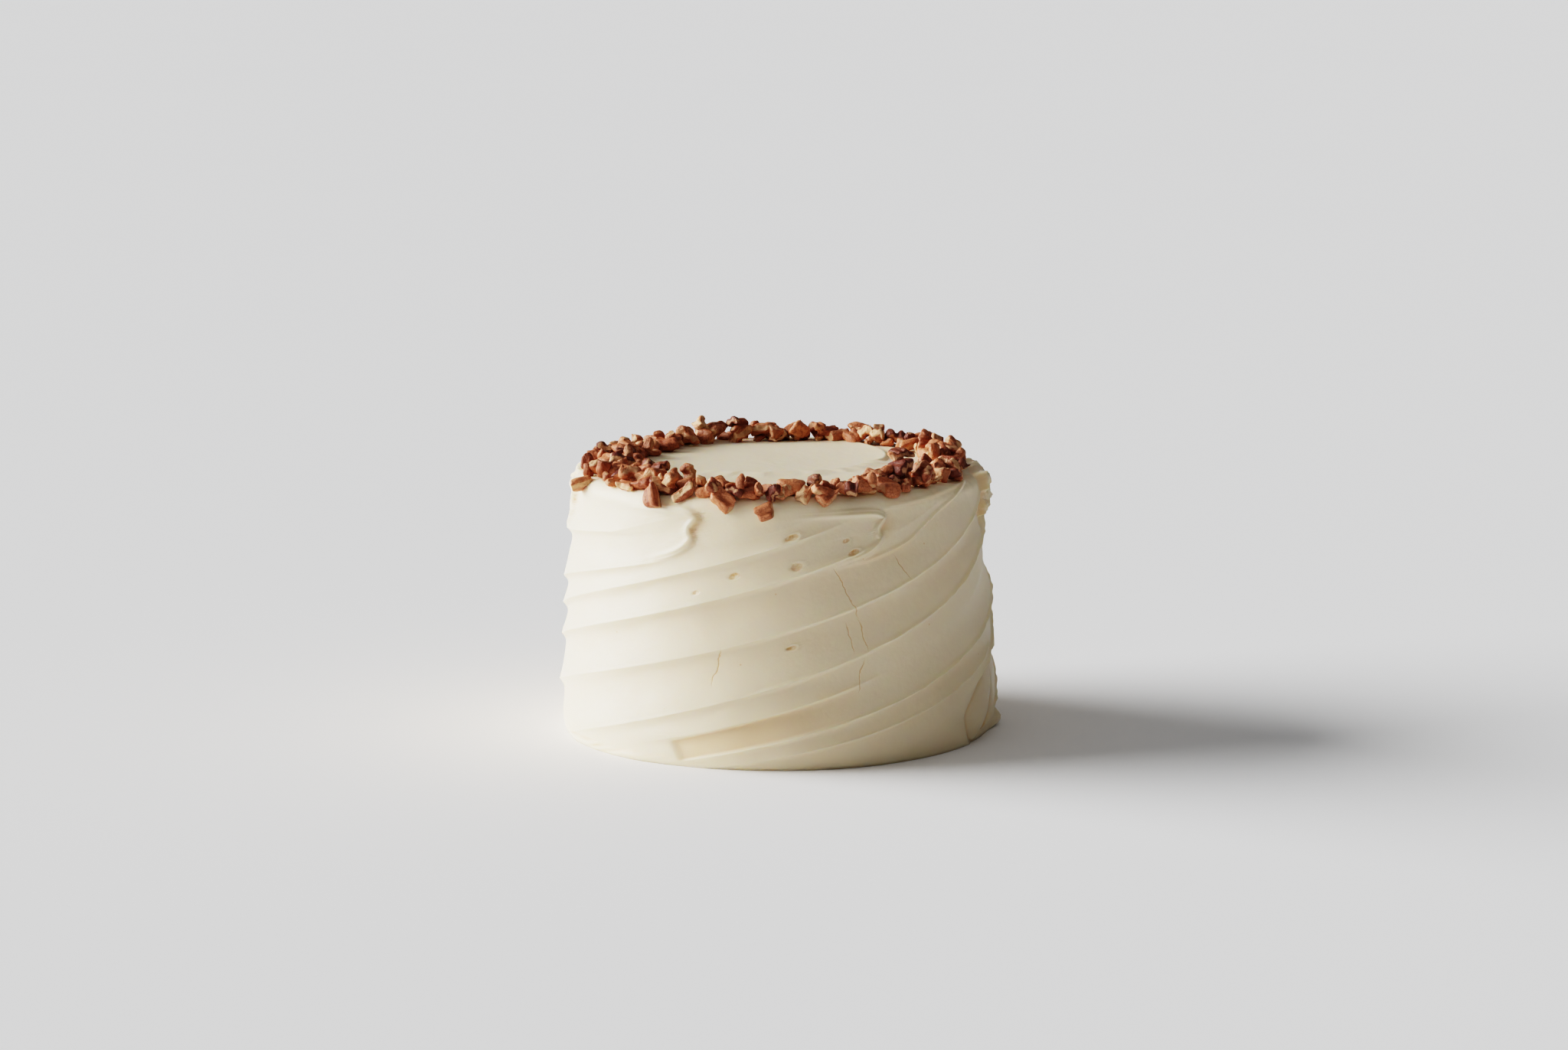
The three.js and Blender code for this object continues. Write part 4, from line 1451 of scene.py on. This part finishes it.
class CAKE_OT_ring_pecans(bpy.types.Operator):
    """Chop pecan halves and heap the pieces in a ring on the top"""

    bl_idname = "cake.ring_pecans"
    bl_label = "Ring the top with pecans"

    def execute(self, context):
        cuts, bits = pecan_cuts()
        icing = bpy.data.objects.get("cream_cheese_icing")
        if not icing:
            raise RuntimeError("The pecans lie on the icing, so the cake is iced first")
        heap, pile = Heap(icing), Pile()
        for piece, (angle, radius) in enumerate(lower_places() + upper_places()):
            self.lay_piece(heap, pile, cuts, piece, angle, radius)
        for bit in range(PECAN_BITS):
            self.strew_bit(heap, pile, bits, bit)
        dress(pile.finish("chopped_pecans"), pecan_finish(), "pecan", "pecan_ring")
        return {"FINISHED"}

    def lay_piece(self, heap, pile, cuts, piece, angle, radius):
        """Lay one larger piece at its place, leaning with the shoulder."""
        lower = piece < LOWER_PECANS
        cut = cuts[int(draw(piece, 70) * len(cuts))]
        length = np.ptp(cut["points"], axis=0).max()
        scale = PECAN_LENGTH * draw(piece, 3, *PIECE_SIZES) / length
        lean = draw(piece, 7, -MOST_LEAN, MOST_LEAN)
        roll = 180 * round(draw(piece, 71)) + draw(piece, 73, -MOST_ROLL, MOST_ROLL)
        radius += ring_shift(angle) + draw(piece, 74, *PIECE_STRAY)
        slope = math.degrees(math.asin(np.clip((radius - TOP_RADIUS) / SHOULDER_RADIUS + 1, 0, STEEPEST)))
        spin = draw(piece, 6, -180, 180) * (1 if slope < STEEP else STEEP_SPIN)
        turn = turn_matrix(slope, 0, angle) @ turn_matrix(roll, lean, spin)
        tries = [(angle + aside, radius) for aside in ((0,) if lower else ASIDE_TRIES)]
        points = heap.settle_lowest(scale * cut["points"] @ turn.T, tries, PIECE_SUNK, lower)
        pile.add(cut, points, draw(piece, 72))

    def strew_bit(self, heap, pile, bits, bit):
        """Drop one small bit where it comes to lie lowest."""
        cut = bits[int(draw(bit, 80) * len(bits))]
        turn = turn_matrix(360 * draw(bit, 83), 360 * draw(bit, 84), 360 * draw(bit, 85))
        tries = []
        for k in range(BIT_TRIES):
            angle = 360 * draw(bit, 81 + 20 * k)
            radius = draw(bit, 82 + 20 * k, ring_inner(angle) - BIT_INWARD, RING_OUTER + BIT_OUTWARD)
            tries.append((angle, radius + ring_shift(angle)))
        points = draw(bit, 86, *BIT_SIZES) * cut["points"] @ turn.T
        pile.add(cut, heap.settle_lowest(points, tries, BIT_SUNK), draw(bit, 87))


class CAKE_OT_stray_pecans(bpy.types.Operator):
    """Lay the single pecans on the shoulder"""

    bl_idname = "cake.stray_pecans"
    bl_label = "Lay the stray pecans"

    def execute(self, context):
        half = pecan_half()
        for k, (node, angle, radius, height, length, along, back, planes, tint) in enumerate(STRAYS):
            shape = pecan_cut(half, STRAY_SEED + k, planes, STRAY_FACES, STRAY_ROUGH)
            scale = length / np.ptp(shape["points"], axis=0).max()
            turn = turn_matrix(0, 0, angle) @ facing_matrix(along, back)
            pile = Pile()
            pile.add(shape, scale * shape["points"] @ turn.T + around(angle, radius, height), tint)
            dress(pile.finish("stray_" + node), pecan_finish(), "pecan", node)
        remove(half)
        return {"FINISHED"}


def studio_floor():
    """A wide pale floor."""
    bpy.ops.object.select_all(action="DESELECT")
    bpy.ops.mesh.primitive_circle_add(vertices=FLOOR_SIDES, radius=FLOOR_RADIUS, fill_type="NGON")
    floor = bpy.context.object
    floor.name = "studio_floor"
    floor.data.materials.append(paper_material())
    return floor


def soft_light(name, strength, spread, up, aside):
    """A far soft light, by how wide it looks, how high it stands and how far round to the left."""
    light = bpy.data.lights.new(name, "SUN")
    light.energy = strength
    light.angle = spread
    lamp = bpy.data.objects.new(name, light)
    bpy.context.scene.collection.objects.link(lamp)
    lamp.rotation_euler = (math.pi / 2 - up, 0, -aside)


def studio_sky(look):
    """Even light from all round; the camera itself sees a paler backdrop."""
    world = bpy.data.worlds.new("studio_sky")
    world.use_nodes = True
    tree = world.node_tree
    light = tree.nodes["Background"]
    set_inputs(light, Color=WHITE, Strength=look.sky_strength)
    seen = add_node(tree, "ShaderNodeBackground", Color=WHITE, Strength=look.backdrop)
    rays = Shade(tree.nodes.new("ShaderNodeLightPath").outputs["Is Camera Ray"])
    both = rays.node("ShaderNodeMixShader", light.outputs[0], seen.outputs[0])
    set_inputs(tree.nodes["World Output"], Surface=both.outputs[0])
    return world


class CAKE_OT_light_studio(bpy.types.Operator):
    """Set up the pale studio, its soft light from the left and the camera"""

    bl_idname = "cake.light_studio"
    bl_label = "Light the studio"

    def execute(self, context):
        look = settings().studio
        studio_floor()
        soft_light("key", look.key_strength, look.key_spread, look.key_raise, look.key_aside)
        soft_light("top", look.top_strength, look.top_spread, math.pi / 2, 0)
        context.scene.world = studio_sky(look)
        camera = bpy.data.objects.new("camera", bpy.data.cameras.new("camera"))
        context.scene.collection.objects.link(camera)
        camera.location = (look.camera_aside, -look.camera_distance, look.camera_height)
        camera.rotation_euler = (math.pi / 2 - look.camera_pitch, 0, 0)
        camera.data.sensor_width = SENSOR_WIDTH
        camera.data.lens = look.lens
        camera.data.clip_end = SIGHT
        context.scene.camera = camera
        context.scene.view_settings.view_transform = "Filmic"
        context.scene.view_settings.look = "Very High Contrast"
        return {"FINISHED"}


class CAKE_PT_panel(bpy.types.Panel):
    """Lists the steps that make the cake"""

    bl_label = "Hummingbird cake"
    bl_idname = "CAKE_PT_panel"
    bl_space_type = "VIEW_3D"
    bl_region_type = "UI"
    bl_category = "Cake"

    def draw(self, context):
        for operator in OPERATORS:
            self.layout.operator(operator.bl_idname)


OPERATORS = (CAKE_OT_ice, CAKE_OT_ring_pecans, CAKE_OT_stray_pecans, CAKE_OT_light_studio)
CLASSES = (IcingSettings, PecanSettings, StudioSettings, CakeSettings, *OPERATORS, CAKE_PT_panel)


def register():
    for cls in CLASSES:
        bpy.utils.register_class(cls)
    bpy.types.Scene.hummingbird_cake = bpy.props.PointerProperty(type=CakeSettings)


def unregister():
    del bpy.types.Scene.hummingbird_cake
    for cls in reversed(CLASSES):
        bpy.utils.unregister_class(cls)


def main():
    register()
    bpy.ops.cake.ice()
    bpy.ops.cake.ring_pecans()
    bpy.ops.cake.stray_pecans()
    bpy.ops.cake.light_studio()


if __name__ == "__main__":
    main()
